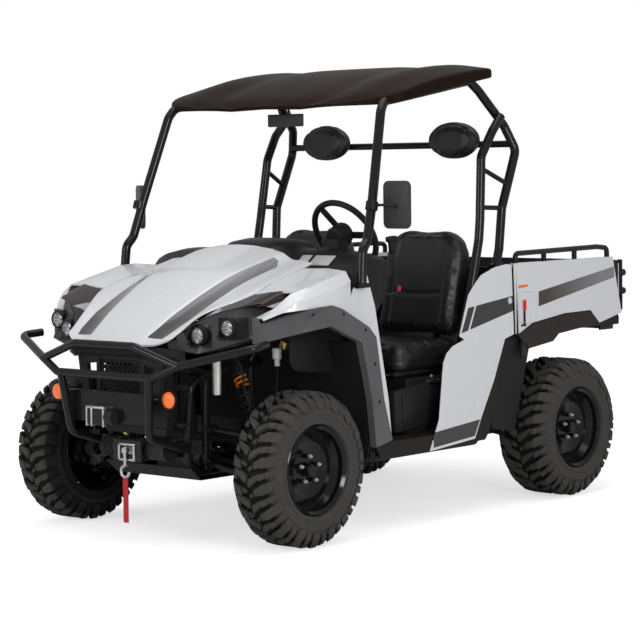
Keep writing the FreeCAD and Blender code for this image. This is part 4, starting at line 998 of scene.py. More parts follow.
@dataclass(frozen=True)
class Tyre:
    """Sizes of the tyres, with chevrons across the tread and short blocks on the shoulders."""

    lug_height: float = 0.023
    lug_width: float = 0.042
    lug_skew: float = 20.0
    hook_lean: float = 0.62
    lug_count: int = 18
    bead: float = 0.1936

    def build(self, end: str, side: str, centre: Point, width: float) -> None:
        """Make one tyre.

        Args:
            end: Front or rear.
            side: Left or right.
            centre: The wheel's centre.
            width: The tyre's width.
        """
        half = width / 2
        crown = WHEEL_RADIUS - self.lug_height
        form = Form()
        sidewall = [
            (half - 0.017, self.bead), (half - 0.012, self.bead + 0.004), (half - 0.008, self.bead + 0.004),
            (half - 0.005, self.bead + 0.012), (half - 0.004, self.bead + 0.020),
            (half - 0.007, self.bead + 0.022), (half - 0.0065, self.bead + 0.040),
            (half - 0.0035, self.bead + 0.043), (half - 0.004, self.bead + 0.058),
            (half - 0.008, self.bead + 0.062), (half - 0.012, crown - 0.038), (half - 0.018, crown - 0.024),
            (half - 0.030, crown - 0.012), (half - 0.050, crown - 0.004), (half - 0.075, crown),
        ]
        outline = [(-y, radius) for y, radius in sidewall] + sidewall[::-1]
        outline += [(half - 0.020, self.bead - 0.001), (-half + 0.020, self.bead - 0.001)]
        form.lathe(outline, centre, OUTWARD, 108, closed=True)
        blocks = self.blocks(half)
        for index in range(self.lug_count):
            for hand in (1, -1):
                turn = math.tau * index / self.lug_count
                for stations, middle, lean, pitch, shift in blocks:
                    self.block(form, centre, stations, middle, lean, hand,
                               turn + pitch * math.pi / self.lug_count + hand * shift / WHEEL_RADIUS)
        form.piece(f"tread_{end}_{side}", Finish.RUBBER, f"wheel_{end}_{side}", (f"tyre_{end}_{side}",), 30)

    def blocks(self, half: float) -> tuple[tuple[list[Station], float, float, int, float], ...]:
        """List the tread's blocks for one pitch: chevron, shoulder block, hook and the bar beside it.

        Args:
            half: Half the tyre's width.

        Returns:
            For each its stations, its middle, its lean, its half pitches round and its shift round the tread.
            A station is a place across, how far the top lies under the tread and the foot under the crown,
            and the half width.
        """
        wide = self.lug_width / 2
        short = self.lug_width * 0.32
        chevron = [
            (half * 0.30, 0.001, 0.004, wide * 0.52), (half * 0.36, 0.0, 0.004, wide * 0.78),
            (half - 0.052, 0.0, 0.006, wide * 0.78), (half - 0.044, 0.0006, 0.010, wide),
            (half - 0.024, 0.019, 0.024, wide * 1.04), (half - 0.005, 0.044, 0.040, wide * 0.92),
            (half - 0.0045, 0.058, 0.050, wide * 0.6),
        ]
        shoulder = [
            (half - 0.060, 0.003, 0.004, short * 0.8), (half - 0.046, 0.002, 0.008, short),
            (half - 0.028, 0.017, 0.020, short), (half - 0.009, 0.038, 0.036, short * 0.9),
            (half - 0.008, 0.048, 0.044, short * 0.6),
        ]
        hook = [
            (0.004, 0.0012, 0.003, wide * 0.5), (0.012, 0.0, 0.003, wide * 0.86),
            (half * 0.34, 0.0, 0.004, wide * 0.66), (half * 0.52, 0.0, 0.004, wide * 0.50),
            (half * 0.56, 0.001, 0.004, wide * 0.3),
        ]
        bar = [
            (half * 0.08, 0.001, 0.003, wide * 0.3), (half * 0.12, 0.0, 0.003, wide * 0.42),
            (half * 0.24, 0.0, 0.003, wide * 0.36),
        ]
        return (
            (chevron, half / 2, math.tan(math.radians(self.lug_skew)), 0, 0.0),
            (shoulder, half / 2, 0.36, 1, 0.0),
            (hook, half * 0.3, self.hook_lean, 1, 0.010),
            (bar, half * 0.3, self.hook_lean, 2, 0.010),
        )

    def block(self, form: Form, centre: Point, stations: list[Station], middle: float, lean: float, hand: int,
              turn: float) -> None:
        """Add one bevelled block that follows the tread's section.

        Args:
            form: The tyre's form.
            centre: The wheel's centre.
            stations: Its stations.
            middle: Place across where the block has no offset.
            lean: Offset round the wheel for each metre across.
            hand: Side of the tread, 1 or -1.
            turn: Angle round the wheel.
        """
        part = bmesh.new()
        rows = []
        for across, under, foot, wide in stations:
            top, base = WHEEL_RADIUS - under, WHEEL_RADIUS - self.lug_height - foot
            shift = (middle - across) * lean
            section = ((shift - wide * 1.12, base), (shift - wide, top), (shift + wide, top),
                       (shift + wide * 1.12, base))
            rows.append([part.verts.new((x, hand * across, z)) for x, z in section])
        ladder(part, rows)
        soften(part, 0.0014, math.radians(30), 1)
        form.take(part, Matrix.Translation(centre) @ Matrix.Rotation(turn, 4, "Y"))


@dataclass(frozen=True)
class WheelTrim:
    """Cap and nuts on each rim."""

    circle: float = 0.057
    nuts: int = 5
    face: float = 0.066
    edge: float = 0.017

    def build(self, end: str, side: str, centre: Point, width: float) -> None:
        """Make the trim of one wheel.

        Args:
            end: Front or rear.
            side: Left or right.
            centre: The wheel's centre.
            width: The tyre's width.
        """
        hand = 1 if side == "left" else -1
        out = (0, hand, 0)
        face = width / 2 - self.edge - self.face
        spot = (centre[0], centre[1] + hand * (face + 0.013), centre[2])
        cap = Form()
        cap.lathe([(0.0, 0.0), (0.0, 0.027), (0.010, 0.027), (0.022, 0.024), (0.026, 0.018), (0.026, 0.006),
                   (0.024, 0.0)], spot, out, 48)
        cap.piece(f"hub_cap_{end}_{side}", Finish.RIM_ENAMEL, f"wheel_{end}_{side}")
        bolts = Form()
        for index in range(self.nuts):
            angle = math.tau * index / self.nuts
            x = centre[0] + self.circle * math.sin(angle)
            z = centre[2] + self.circle * math.cos(angle)
            y = centre[1] + hand * (face + 0.020)
            bolts.lathe([(0.0, 0.0), (0.0, 0.0105), (0.006, 0.0105), (0.011, 0.009), (0.012, 0.0)],
                        (x, y, z), out, 6)
            bolts.rod((x, y + hand * 0.010, z), (x, y + hand * 0.020, z), 0.0055, steps=12, bevel=0.001)
        bolts.piece(f"wheel_nuts_{end}_{side}", Finish.ZINC, f"wheel_{end}_{side}")


@dataclass(frozen=True)
class Wheels:
    """The four wheels."""

    corners: tuple[tuple[str, float, float, float], ...] = (
        ("front", 1, 0.670, 0.229), ("rear", -1, 0.645, 0.279),
    )

    def build(self) -> None:
        """Make every tyre with its trim."""
        for end, sign, track, width in self.corners:
            for side, hand in (("left", 1), ("right", -1)):
                centre = (sign * AXLE, hand * track, WHEEL_RADIUS)
                Tyre().build(end, side, centre, width)
                WheelTrim().build(end, side, centre, width)


# Running gear


@dataclass(frozen=True)
class CoilOver:
    """Damper with its spring between an arm and the frame."""

    name: str
    top: Point
    bottom: Point
    turns: float = 8.5
    wire: float = 0.0052
    radius: float = 0.0262

    def at(self, share: float) -> Vector:
        """Return the point a share of the way up."""
        return Vector(self.bottom).lerp(Vector(self.top), share)

    def build(self) -> None:
        """Make both sides."""
        self.damper()
        self.spring(0.30, 0.80, self.turns * 0.8, "coil", Finish.SPRING_BLACK)
        self.spring(0.815, 0.93, self.turns * 0.3, "helper_coil", Finish.SPRING_ORANGE)

    def damper(self) -> None:
        """Make the damper's body, rod, seats and eyes."""
        form = Form()
        form.rod(tuple(self.at(0.02)), tuple(self.at(0.5)), 0.016, steps=24, bevel=0.002)
        for low, high in ((0.803, 0.813), (0.932, 0.955)):
            form.rod(tuple(self.at(low)), tuple(self.at(high)), 0.030, steps=32, bevel=0.0015)
        form.rod(tuple(self.at(0.45)), tuple(self.at(0.98)), 0.008, steps=20)
        for place in (0.0, 1.0):
            x, y, z = self.at(place)
            form.rod((x - 0.016, y, z), (x + 0.016, y, z), 0.017, steps=28, bevel=0.002)
        form.both()
        stands_for = ("shock_absorbers",) if self.name == "front" else ()
        form.piece(f"dampers_{self.name}", Finish.DARK_STEEL, "chassis", stands_for)
        seats = Form()
        for low, high, radius in ((0.235, 0.262, 0.031), (0.266, 0.296, 0.027)):
            seats.rod(tuple(self.at(low)), tuple(self.at(high)), radius, steps=32, bevel=0.0015)
        mirrored("chassis", (seats, f"spring_seats_{self.name}", Finish.GOLD_ZINC))

    def spring(self, low: float, high: float, turns: float, name: str, finish: "Finish") -> None:
        """Make one coil on both sides.

        Args:
            low: Share of the way up where it starts.
            high: Share where it ends.
            turns: Its turns.
            name: The piece's name.
            finish: Its finish.
        """
        start, run = self.at(low), self.at(high) - self.at(low)
        along = run.normalized()
        side = along.orthogonal().normalized()
        across = along.cross(side)
        steps = int(turns * 20)
        points = []
        for step in range(steps + 1):
            angle = math.tau * turns * step / steps
            spot = start + run * (step / steps)
            points.append(tuple(spot + self.radius * (math.cos(angle) * side + math.sin(angle) * across)))
        form = Form()
        form.sweep(points, self.wire, 8)
        form.both()
        form.piece(f"{name}_{self.name}", finish, "chassis", sharp=60)


@dataclass(frozen=True)
class HalfShafts:
    """Half shafts with ribbed boots, and the propeller shaft between the two gearboxes."""

    ribs: int = 6
    radius: float = 0.012
    front_end: float = 0.8757
    rear_end: float = -0.4207
    line: float = 0.3205

    def build(self) -> None:
        """Make the shafts and their boots."""
        shafts = Form()
        boots = Form()
        for sign, inner, outer in ((1, 0.1303, 0.590), (-1, 0.1403, 0.540)):
            x = sign * AXLE
            shafts.rod((x, inner, WHEEL_RADIUS), (x, outer, WHEEL_RADIUS), self.radius, steps=20)
            boots.lathe(self.bellows(0.075, 0.042, 0.017), (x, inner, WHEEL_RADIUS), OUTWARD, 40)
            boots.lathe(self.bellows(0.060, 0.017, 0.024), (x, outer - 0.122, WHEEL_RADIUS), OUTWARD, 40)
        shafts.both()
        shafts.rod((self.front_end, 0, self.line), (self.rear_end, 0, self.line), self.radius, steps=20)
        shafts.piece("half_shafts", Finish.DARK_STEEL, "chassis", ("drive_shafts",))
        boots.both()
        boots.piece("shaft_boots", Finish.BOOT_RUBBER, "chassis", sharp=70)

    def bellows(self, length: float, first: float, last: float) -> list[Flat]:
        """Draw the outline of a ribbed boot.

        Args:
            length: Its length along the shaft.
            first: Radius at the start.
            last: Radius at the end.

        Returns:
            Its outline.
        """
        outline = [(0.0, 0.0), (0.0, first)]
        for rib in range(self.ribs):
            for share, swell in ((0.15, 0.0), (0.5, 0.0035), (0.85, 0.0)):
                place = (rib + share) / self.ribs
                outline.append((length * place, first + (last - first) * place + swell))
        return outline + [(length, last), (length, 0.0)]


# Soft goods


@dataclass(frozen=True)
class Cushion:
    """Upholstered pad, puffed up from its plain solid."""

    name: str
    node: str
    side: int
    voxel: float = 0.008
    inset: float = 0.006
    cap: float = 0.016
    pressure: float = 4.0
    frames: int = 16

    def build(self) -> bpy.types.Object:
        """Make the pad.

        Returns:
            The piece.
        """
        made = self.shell()
        self.puff(made)
        self.smooth(made)
        self.channels(made)
        data = made.data
        data.materials.clear()
        data.materials.append(Finish.VINYL.built)
        data.polygons.foreach_set("use_smooth", [True] * len(data.polygons))
        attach(made, "chassis")
        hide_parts(self.node)
        LOG.info("%s: %d faces on chassis", self.name, len(data.polygons))
        return made

    def shell(self) -> bpy.types.Object:
        """Copy this side of the plain solid, a little smaller, in even squares.

        Returns:
            The starting mesh.
        """
        form = bmesh.new()
        form.from_mesh(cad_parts[self.node].data)
        bmesh.ops.remove_doubles(form, verts=form.verts[:], dist=1e-6)
        other = [vert for vert in form.verts if vert.co.y * self.side < 0]
        bmesh.ops.delete(form, geom=other, context="VERTS")
        form.normal_update()
        for vert in form.verts:
            vert.co -= vert.normal * self.inset
        data = bpy.data.meshes.new(self.name)
        form.to_mesh(data)
        form.free()
        made = bpy.data.objects.new(self.name, data)
        bpy.context.collection.objects.link(made)
        remesh = made.modifiers.new("even", "REMESH")
        remesh.mode = "VOXEL"
        remesh.voxel_size = self.voxel
        self.apply(made)
        return made

    def apply(self, made: bpy.types.Object) -> None:
        """Make the modifiers' result the piece's own mesh.

        Args:
            made: The piece.
        """
        graph = bpy.context.evaluated_depsgraph_get()
        result = bpy.data.meshes.new_from_object(made.evaluated_get(graph))
        made.modifiers.clear()
        made.data = result

    def puff(self, made: bpy.types.Object) -> None:
        """Blow the pad up, keeping each point near where it was.

        Args:
            made: The piece.
        """
        before = [vert.co.copy() for vert in made.data.vertices]
        cloth = made.modifiers.new("puff", "CLOTH")
        settings = cloth.settings
        settings.quality = 5
        settings.mass = 0.3
        settings.use_pressure = True
        settings.uniform_pressure_force = self.pressure
        settings.effector_weights.gravity = 0
        settings.tension_stiffness = 25
        settings.compression_stiffness = 12
        settings.bending_stiffness = 2
        cloth.collision_settings.use_collision = False
        scene = bpy.context.scene
        for step in range(1, self.frames + 1):
            scene.frame_set(step)
        self.apply(made)
        scene.frame_set(1)
        for vert, start in zip(made.data.vertices, before):
            moved = vert.co - start
            if moved.length > self.cap:
                vert.co = start + moved * (self.cap / moved.length)

    def smooth(self, made: bpy.types.Object) -> None:
        """Round the squares off with one subdivision.

        Args:
            made: The piece.
        """
        finer = made.modifiers.new("finer", "SUBSURF")
        finer.levels = 1
        finer.render_levels = 1
        self.apply(made)

    def channels(self, made: bpy.types.Object) -> None:
        """Press the sewn channels into the pad's faces.

        Args:
            made: The piece.
        """
        normals = [vert.normal.copy() for vert in made.data.vertices]
        for vert, normal in zip(made.data.vertices, normals):
            depth = self.groove(vert.co)
            if depth:
                vert.co -= normal * depth

    def groove(self, spot: Vector) -> float:
        """Return how deep the sewing pulls a point in."""
        raise NotImplementedError


def dent(distance: float, depth: float, width: float) -> float:
    """Return a groove's depth at a distance from its line."""
    return depth * math.exp(-(distance / width) ** 2)


@dataclass(frozen=True)
class SeatCushion(Cushion):
    """Seat with a sewn panel inside its rim."""

    middle: float = 0.350

    def groove(self, spot: Vector) -> float:
        """Return the depth of the seat's channels.

        Args:
            spot: A point of the pad.

        Returns:
            The depth in metres.
        """
        if spot.z < 0.74:
            return dent(abs(spot.z - 0.715), 0.002, 0.006)
        across = abs(abs(spot.y) - self.middle)
        bow = 0.165 - 0.03 * ((spot.x + 0.05) / 0.24) ** 2
        rim = dent(abs(across - bow), 0.0045, 0.008) if -0.22 < spot.x < 0.14 else 0.0
        cross = 0.0
        if across < bow:
            cross = max(dent(abs(spot.x - place), 0.004, 0.008) for place in (-0.22, 0.14))
        return max(rim, cross)


@dataclass(frozen=True)
class SeatBack(Cushion):
    """Backrest with two curved seams."""

    middle: float = 0.350
    low: float = 0.82

    def groove(self, spot: Vector) -> float:
        """Return the depth of the backrest's channels.

        Args:
            spot: A point of the pad.

        Returns:
            The depth in metres.
        """
        across = abs(abs(spot.y) - self.middle)
        lift = (spot.z - self.low) / 0.5
        arch = 0.150 - 0.05 * max(0.0, lift) ** 3
        side = dent(abs(across - arch), 0.005, 0.009) if 0.05 < lift < 0.92 else 0.0
        crown = dent(abs(lift - 0.92 + 1.2 * across ** 2), 0.005, 0.018) if across < arch else 0.0
        belt = dent(abs(lift - 0.36 - 0.6 * across ** 2), 0.004, 0.018) if across < arch else 0.0
        return max(side, crown, belt)


@dataclass(frozen=True)
class Headrest(Cushion):
    """Oval headrest with one seam round it."""

    middle: float = 0.400
    height: float = 1.711

    def groove(self, spot: Vector) -> float:
        """Return the depth of the headrest's seam.

        Args:
            spot: A point of the pad.

        Returns:
            The depth in metres.
        """
        across = (abs(spot.y) - self.middle) / 0.150
        lift = (spot.z - self.height) / 0.093
        return dent(abs(math.hypot(across, lift) - 0.80), 0.003, 0.06)


@dataclass(frozen=True)
class SoftGoods:
    """Seats and headrests."""

    def build(self) -> None:
        """Make every pad on both sides."""
        for label, side in (("left", 1), ("right", -1)):
            SeatCushion(f"seat_pad_{label}", "seat_cushions", side).build()
            SeatBack(f"back_pad_{label}", "seat_backs", side).build()
            Headrest(f"head_pad_{label}", "headrests", side, voxel=0.006, cap=0.010).build()


# Nose


@dataclass(frozen=True)
class LampGlass:
    """Reflector bowls and domed glasses in the lamp pockets."""

    spots: tuple[tuple[float, float, float, float], ...] = (
        (1.268, 0.402, 0.902, 0.035), (1.214, 0.522, 0.935, 0.035),
    )
    depth: float = 0.024

    def build(self) -> None:
        """Make the lamps on both sides."""
        bowls, rings, glass = Form(), Form(), Form()
        for x, y, z, radius in self.spots:
            back = x - self.depth
            bowls.lathe([(0.0, 0.0), (0.0, 0.010), (0.012, 0.020), (0.026, radius - 0.004),
                         (0.029, radius - 0.004), (0.029, radius - 0.0025), (-0.001, 0.012),
                         (-0.001, 0.0)], (back, y, z), AHEAD, 40)
            bowls.lathe([(0.002, 0.0), (0.002, 0.006), (0.016, 0.006), (0.020, 0.003), (0.020, 0.0)],
                        (back, y, z), AHEAD, 24)
            rings.lathe([(0.022, radius - 0.003), (0.030, radius - 0.003), (0.033, radius),
                         (0.030, radius + 0.004), (0.018, radius + 0.005), (0.0, radius + 0.004)],
                        (back, y, z), AHEAD, 48, closed=True)
            glass.lathe([(0.0275, radius - 0.004), (0.030, radius * 0.75), (0.032, radius * 0.45),
                         (0.033, 0.0)], (back, y, z), AHEAD, 40)
        for form in (bowls, rings, glass):
            form.both()
        bowls.piece("lamp_reflectors", Finish.CHROME, "chassis", ("lamp_lenses",))
        rings.piece("lamp_bezels", Finish.BLACK_PLASTIC, "chassis")
        glass.piece("lamp_glasses", Finish.LAMP_GLASS, "chassis")


@dataclass(frozen=True)
class WinchGear:
    """Rope on the drum, ribs on the motor and the pull strap."""

    x: float = 1.236
    z: float = 0.400

    def build(self) -> None:
        """Make the winch's dressing."""
        rope = Form()
        turns = 15
        outline = [(-0.058, 0.030)]
        for turn in range(turns):
            start = -0.056 + turn * 0.112 / turns
            outline += [(start, 0.032), (start + 0.0037, 0.0365)]
        outline += [(0.056, 0.032), (0.058, 0.030)]
        rope.lathe(outline, (self.x, 0, self.z), OUTWARD, 36)
        rope.piece("winch_rope", Finish.ZINC, "chassis", sharp=80)
        ribs = Form()
        for index in range(8):
            y = -0.185 + index * 0.0145
            ribs.lathe([(0.0, 0.046), (0.0, 0.0495), (0.006, 0.0495), (0.006, 0.046)], (self.x, y, self.z),
                       OUTWARD, 40, closed=True)
        ribs.piece("winch_motor_ribs", Finish.DARK_STEEL, "chassis")
        self.strap()

    def strap(self) -> None:
        """Make the pull strap as one hanging strip of webbing."""
        top, low, wide = 0.2747, 0.085, 0.030
        form = bmesh.new()
        bmesh.ops.create_grid(form, x_segments=8, y_segments=40, size=0.5)
        x = 1.3183
        for vert in form.verts:
            across, down = vert.co.x * wide, 0.5 - vert.co.y
            z = top - down * (top - low)
            sway = 0.0005 * math.sin(down * 9.0)
            vert.co = Vector((x + sway, across, z))
        data = bpy.data.meshes.new("pull_strap")
        form.to_mesh(data)
        form.free()
        strap = bpy.data.objects.new("pull_strap", data)
        bpy.context.collection.objects.link(strap)
        body = strap.modifiers.new("body", "SOLIDIFY")
        body.thickness = 0.003
        body.offset = 0
        data.materials.append(Finish.WEBBING.built)
        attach(strap, "chassis")
        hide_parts("winch_strap")


# Body


def spline(points: list[tuple[float, ...]], steps: int) -> list[tuple[float, ...]]:
    """Run a smooth line through points.

    Args:
        points: The points.
        steps: Steps between two points.

    Returns:
        The line's points.
    """
    line = []
    for index in range(len(points) - 1):
        before = points[max(index - 1, 0)]
        start, end = points[index], points[index + 1]
        after = points[min(index + 2, len(points) - 1)]
        for step in range(steps):
            share = step / steps
            weights = (
                (-share + 2 * share ** 2 - share ** 3) / 2, (2 - 5 * share ** 2 + 3 * share ** 3) / 2,
                (share + 4 * share ** 2 - 3 * share ** 3) / 2, (share ** 3 - share ** 2) / 2,
            )
            line.append(tuple(sum(weight * value for weight, value in zip(weights, values))
                              for values in zip(before, start, end, after)))
    return line + [points[-1]]


def flow(rows: list[list[Point]], steps: int) -> list[list[Point]]:
    """Fill in smooth rows between stations.

    Args:
        rows: The stations' rows of points.
        steps: Rows from one station to the next.

    Returns:
        All rows.
    """
    columns = [spline(list(column), steps) for column in zip(*rows)]
    return [list(row) for row in zip(*columns)]


def shell(top: list[list[Point]], wall: float) -> list[list[Point]]:
    """Give a surface a wall below it.

    Args:
        top: Rows of its points, from left to right.
        wall: The wall's thickness.

    Returns:
        Rows of closed sections.
    """
    return [list(row) + [(x, y, z - wall) for x, y, z in reversed(row)] for row in top]


def whole(half: list[Point]) -> list[Point]:
    """Mirror a half row, listed from the centre outwards, to the other side."""
    return [(x, -y, z) for x, y, z in reversed(half) if y > 0] + list(half)


@dataclass(frozen=True)
class Bonnet:
    """Creased bonnet that sweeps up towards the cab."""

    wall: float = 0.008
    steps: int = 6
    stations: tuple[tuple[float, Flat, Flat, Flat, float], ...] = (
        (1.300, (0.179, 0.920), (0.278, 0.907), (0.327, 0.918), 0.008),
        (1.187, (0.199, 0.992), (0.303, 0.970), (0.362, 0.992), 0.011),
        (1.010, (0.226, 1.085), (0.315, 1.055), (0.460, 1.058), 0.016),
        (0.870, (0.246, 1.143), (0.321, 1.110), (0.452, 1.105), 0.022),
        (0.700, (0.265, 1.192), (0.332, 1.160), (0.446, 1.148), 0.028),
        (0.590, (0.277, 1.220), (0.338, 1.188), (0.440, 1.178), 0.034),
    )

    def build(self) -> None:
        """Make the bonnet with its hinge ears."""
        rows = [whole(self.front())] + [whole(self.half(station)) for station in self.stations]
        form = Form()
        form.skin(shell(flow(rows, self.steps), self.wall))
        soften(form.mesh, 0.0022, 1.0)
        for side in (1, -1):
            form.box((0.580, side * 0.2 - 0.004, 1.200), (0.600, side * 0.2 + 0.004, 1.236), 0.001)
        form.piece("bonnet_skin", Finish.BONNET, "bonnet", ("hood",), 24)

    def front(self) -> list[Point]:
        """Return the left half of the front edge.

        Returns:
            Its points.
        """
        return [(1.384, 0.0, 0.872), (1.383, 0.06, 0.871), (1.381, 0.12, 0.870), (1.379, 0.155, 0.868),
                (1.378, 0.162, 0.866), (1.378, 0.170, 0.862), (1.377, 0.205, 0.862), (1.374, 0.242, 0.865),
                (1.366, 0.268, 0.871), (1.347, 0.304, 0.886), (1.338, 0.318, 0.896)]

    def half(self, station: tuple[float, Flat, Flat, Flat, float]) -> list[Point]:
        """Return the left half of one station's row.

        Args:
            station: Its place, crease, valley, seam and the centre's rise.

        Returns:
            Its points.
        """
        x, (crease, high), (valley, low), (seam, edge), rise = station
        outward = seam - valley
        return [
            (x, 0.0, high + rise), (x, crease * 0.35, high + rise * 0.9),
            (x, crease * 0.7, high + rise * 0.52),
            (x, crease - 0.016, high + 0.003), (x, crease - 0.004, high), (x, crease + 0.006, high - 0.006),
            (x, crease + (valley - crease) * 0.5, (high + low) / 2 - 0.004), (x, valley - 0.006, low + 0.002),
            (x, valley + outward * 0.3, low + (edge - low) * 0.3 + 0.004),
            (x, valley + outward * 0.75, low + (edge - low) * 0.75 + 0.004), (x, seam, edge),
        ]


@dataclass(frozen=True)
class RoofShell:
    """Moulded roof with its raised pods and soft edges."""

    wall: float = 0.024
    steps: int = 5
    stations: tuple[tuple[float, ...], ...] = (
        (0.399, 0.424, 1.862, 1.872, 1.873, 1.873), (0.345, 0.640, 1.868, 1.896, 1.908, 1.908),
        (0.270, 0.716, 1.884, 1.926, 1.944, 1.940), (0.150, 0.721, 1.906, 1.958, 1.990, 1.982),
        (0.0, 0.721, 1.932, 1.990, 2.026, 2.022), (-0.200, 0.721, 1.967, 2.020, 2.051, 2.052),
        (-0.340, 0.717, 1.990, 2.034, 2.057, 2.059), (-0.366, 0.704, 1.996, 2.028, 2.046, 2.050),
    )

    def build(self) -> None:
        """Make the roof and the pads on it."""
        rows = [self.ring(*station) for station in self.stations]
        form = Form()
        form.skin(flow(rows, self.steps))
        form.piece("roof_shell", Finish.ROOF, "chassis", ("roof",), 40)
        pads = Form()
        for x, z, tall in ((-0.280, 1.985, 0.040), (0.180, 1.905, 0.050)):
            for side in (1, -1):
                y = side * 0.628
                pads.box((x - 0.020, y - 0.018, z), (x + 0.020, y + 0.018, z + tall), 0.004)
        pads.piece("roof_pads", Finish.BLACK_PLASTIC, "chassis")

    def ring(self, x: float, half: float, edge: float, side: float, pod: float, crown: float) -> list[Point]:
        """Return one closed section.

        Args:
            x: Its place.
            half: Its half width.
            edge: Height of its lower edge.
            side: Height of its side's top.
            pod: Height of the raised pod.
            crown: Height of its centre.

        Returns:
            Its points.
        """
        corner = min(0.012, (side - edge) * 0.4)
        line = spline([(0.0, crown), (half * 0.30, crown - 0.001), (half * 0.48, min(pod, crown) - 0.007),
                       (half * 0.60, pod - 0.004), (half * 0.74, pod),
                       (half * 0.88, side + (pod - side) * 0.5), (half - corner, side + 0.001)], 3)
        line += [(half - corner * 0.3, side - corner * 0.3), (half, side - corner), (half, edge + 0.003),
                 (half - 0.003, edge), (half - 0.012, edge)]
        drop = min(self.wall, side - edge + 0.004)
        inner = [(half - 0.014, max(edge, side - drop)), (half * 0.74, pod - drop),
                 (half * 0.5, crown - 0.006 - drop), (0.0, crown - drop)]
        top = [(-y, z) for y, z in reversed(line[1:])] + line
        low = inner + [(-y, z) for y, z in reversed(inner[:-1])]
        return [(x, y, z) for y, z in top + low]


@dataclass(frozen=True)
class Reshaped:
    """A panel taken from its plain solid, moved and softened."""

    node: str
    name: str
    finish: "Finish"
    body: str = "chassis"
    bevel: float = 0.0015
    sharp: float = 32.0

    def build(self) -> bpy.types.Object:
        """Make the panel.

        Returns:
            The piece.
        """
        form = Form()
        form.mesh.from_mesh(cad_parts[self.node].data)
        bmesh.ops.remove_doubles(form.mesh, verts=form.mesh.verts[:], dist=2e-5)
        bmesh.ops.dissolve_limit(form.mesh, angle_limit=math.radians(0.6), verts=form.mesh.verts[:],
                                 edges=form.mesh.edges[:])
        for vert in form.mesh.verts:
            self.move(vert)
        made = form.piece(self.name, self.finish, self.body, (self.node,), self.sharp)
        if self.bevel:
            soft = made.modifiers.new("soft", "BEVEL")
            soft.width = self.bevel
            soft.segments = 2
            soft.limit_method = "ANGLE"
            soft.angle_limit = math.radians(40)
            soft.harden_normals = False
        return made

    def move(self, vert: bmesh.types.BMVert) -> None:
        """Leave a corner where it is."""


@dataclass(frozen=True)
class Drawn(Reshaped):
    """A panel whose forward part draws in towards the centre."""

    start: float = 0.95
    reach: float = 0.332
    inward: float = 0.13

    def move(self, vert: bmesh.types.BMVert) -> None:
        """Draw a corner in by how far forward it is.

        Args:
            vert: The corner.
        """
        if vert.co.x > self.start:
            share = min(1.0, (vert.co.x - self.start) / self.reach) ** 1.3
            draw(vert, self.inward * share)


@dataclass(frozen=True)
class Narrowed(Reshaped):
    """A lamp part whose outer end draws in towards the centre."""

    start: float = 0.52
    keep: float = 0.5

    def move(self, vert: bmesh.types.BMVert) -> None:
        """Draw a corner in by how far out it is.

        Args:
            vert: The corner.
        """
        out = abs(vert.co.y) - self.start
        if out > 0:
            draw(vert, out * (1 - self.keep))


BACKWARD = 1.073
DOWNWARD = 0.1


def draw(vert: bmesh.types.BMVert, inward: float) -> None:
    """Move a corner towards the centre, back and a little down.

    Args:
        vert: The corner.
        inward: How far it goes towards the centre.
    """
    vert.co.x -= BACKWARD * inward
    vert.co.y -= math.copysign(inward, vert.co.y)
    vert.co.z -= DOWNWARD * inward


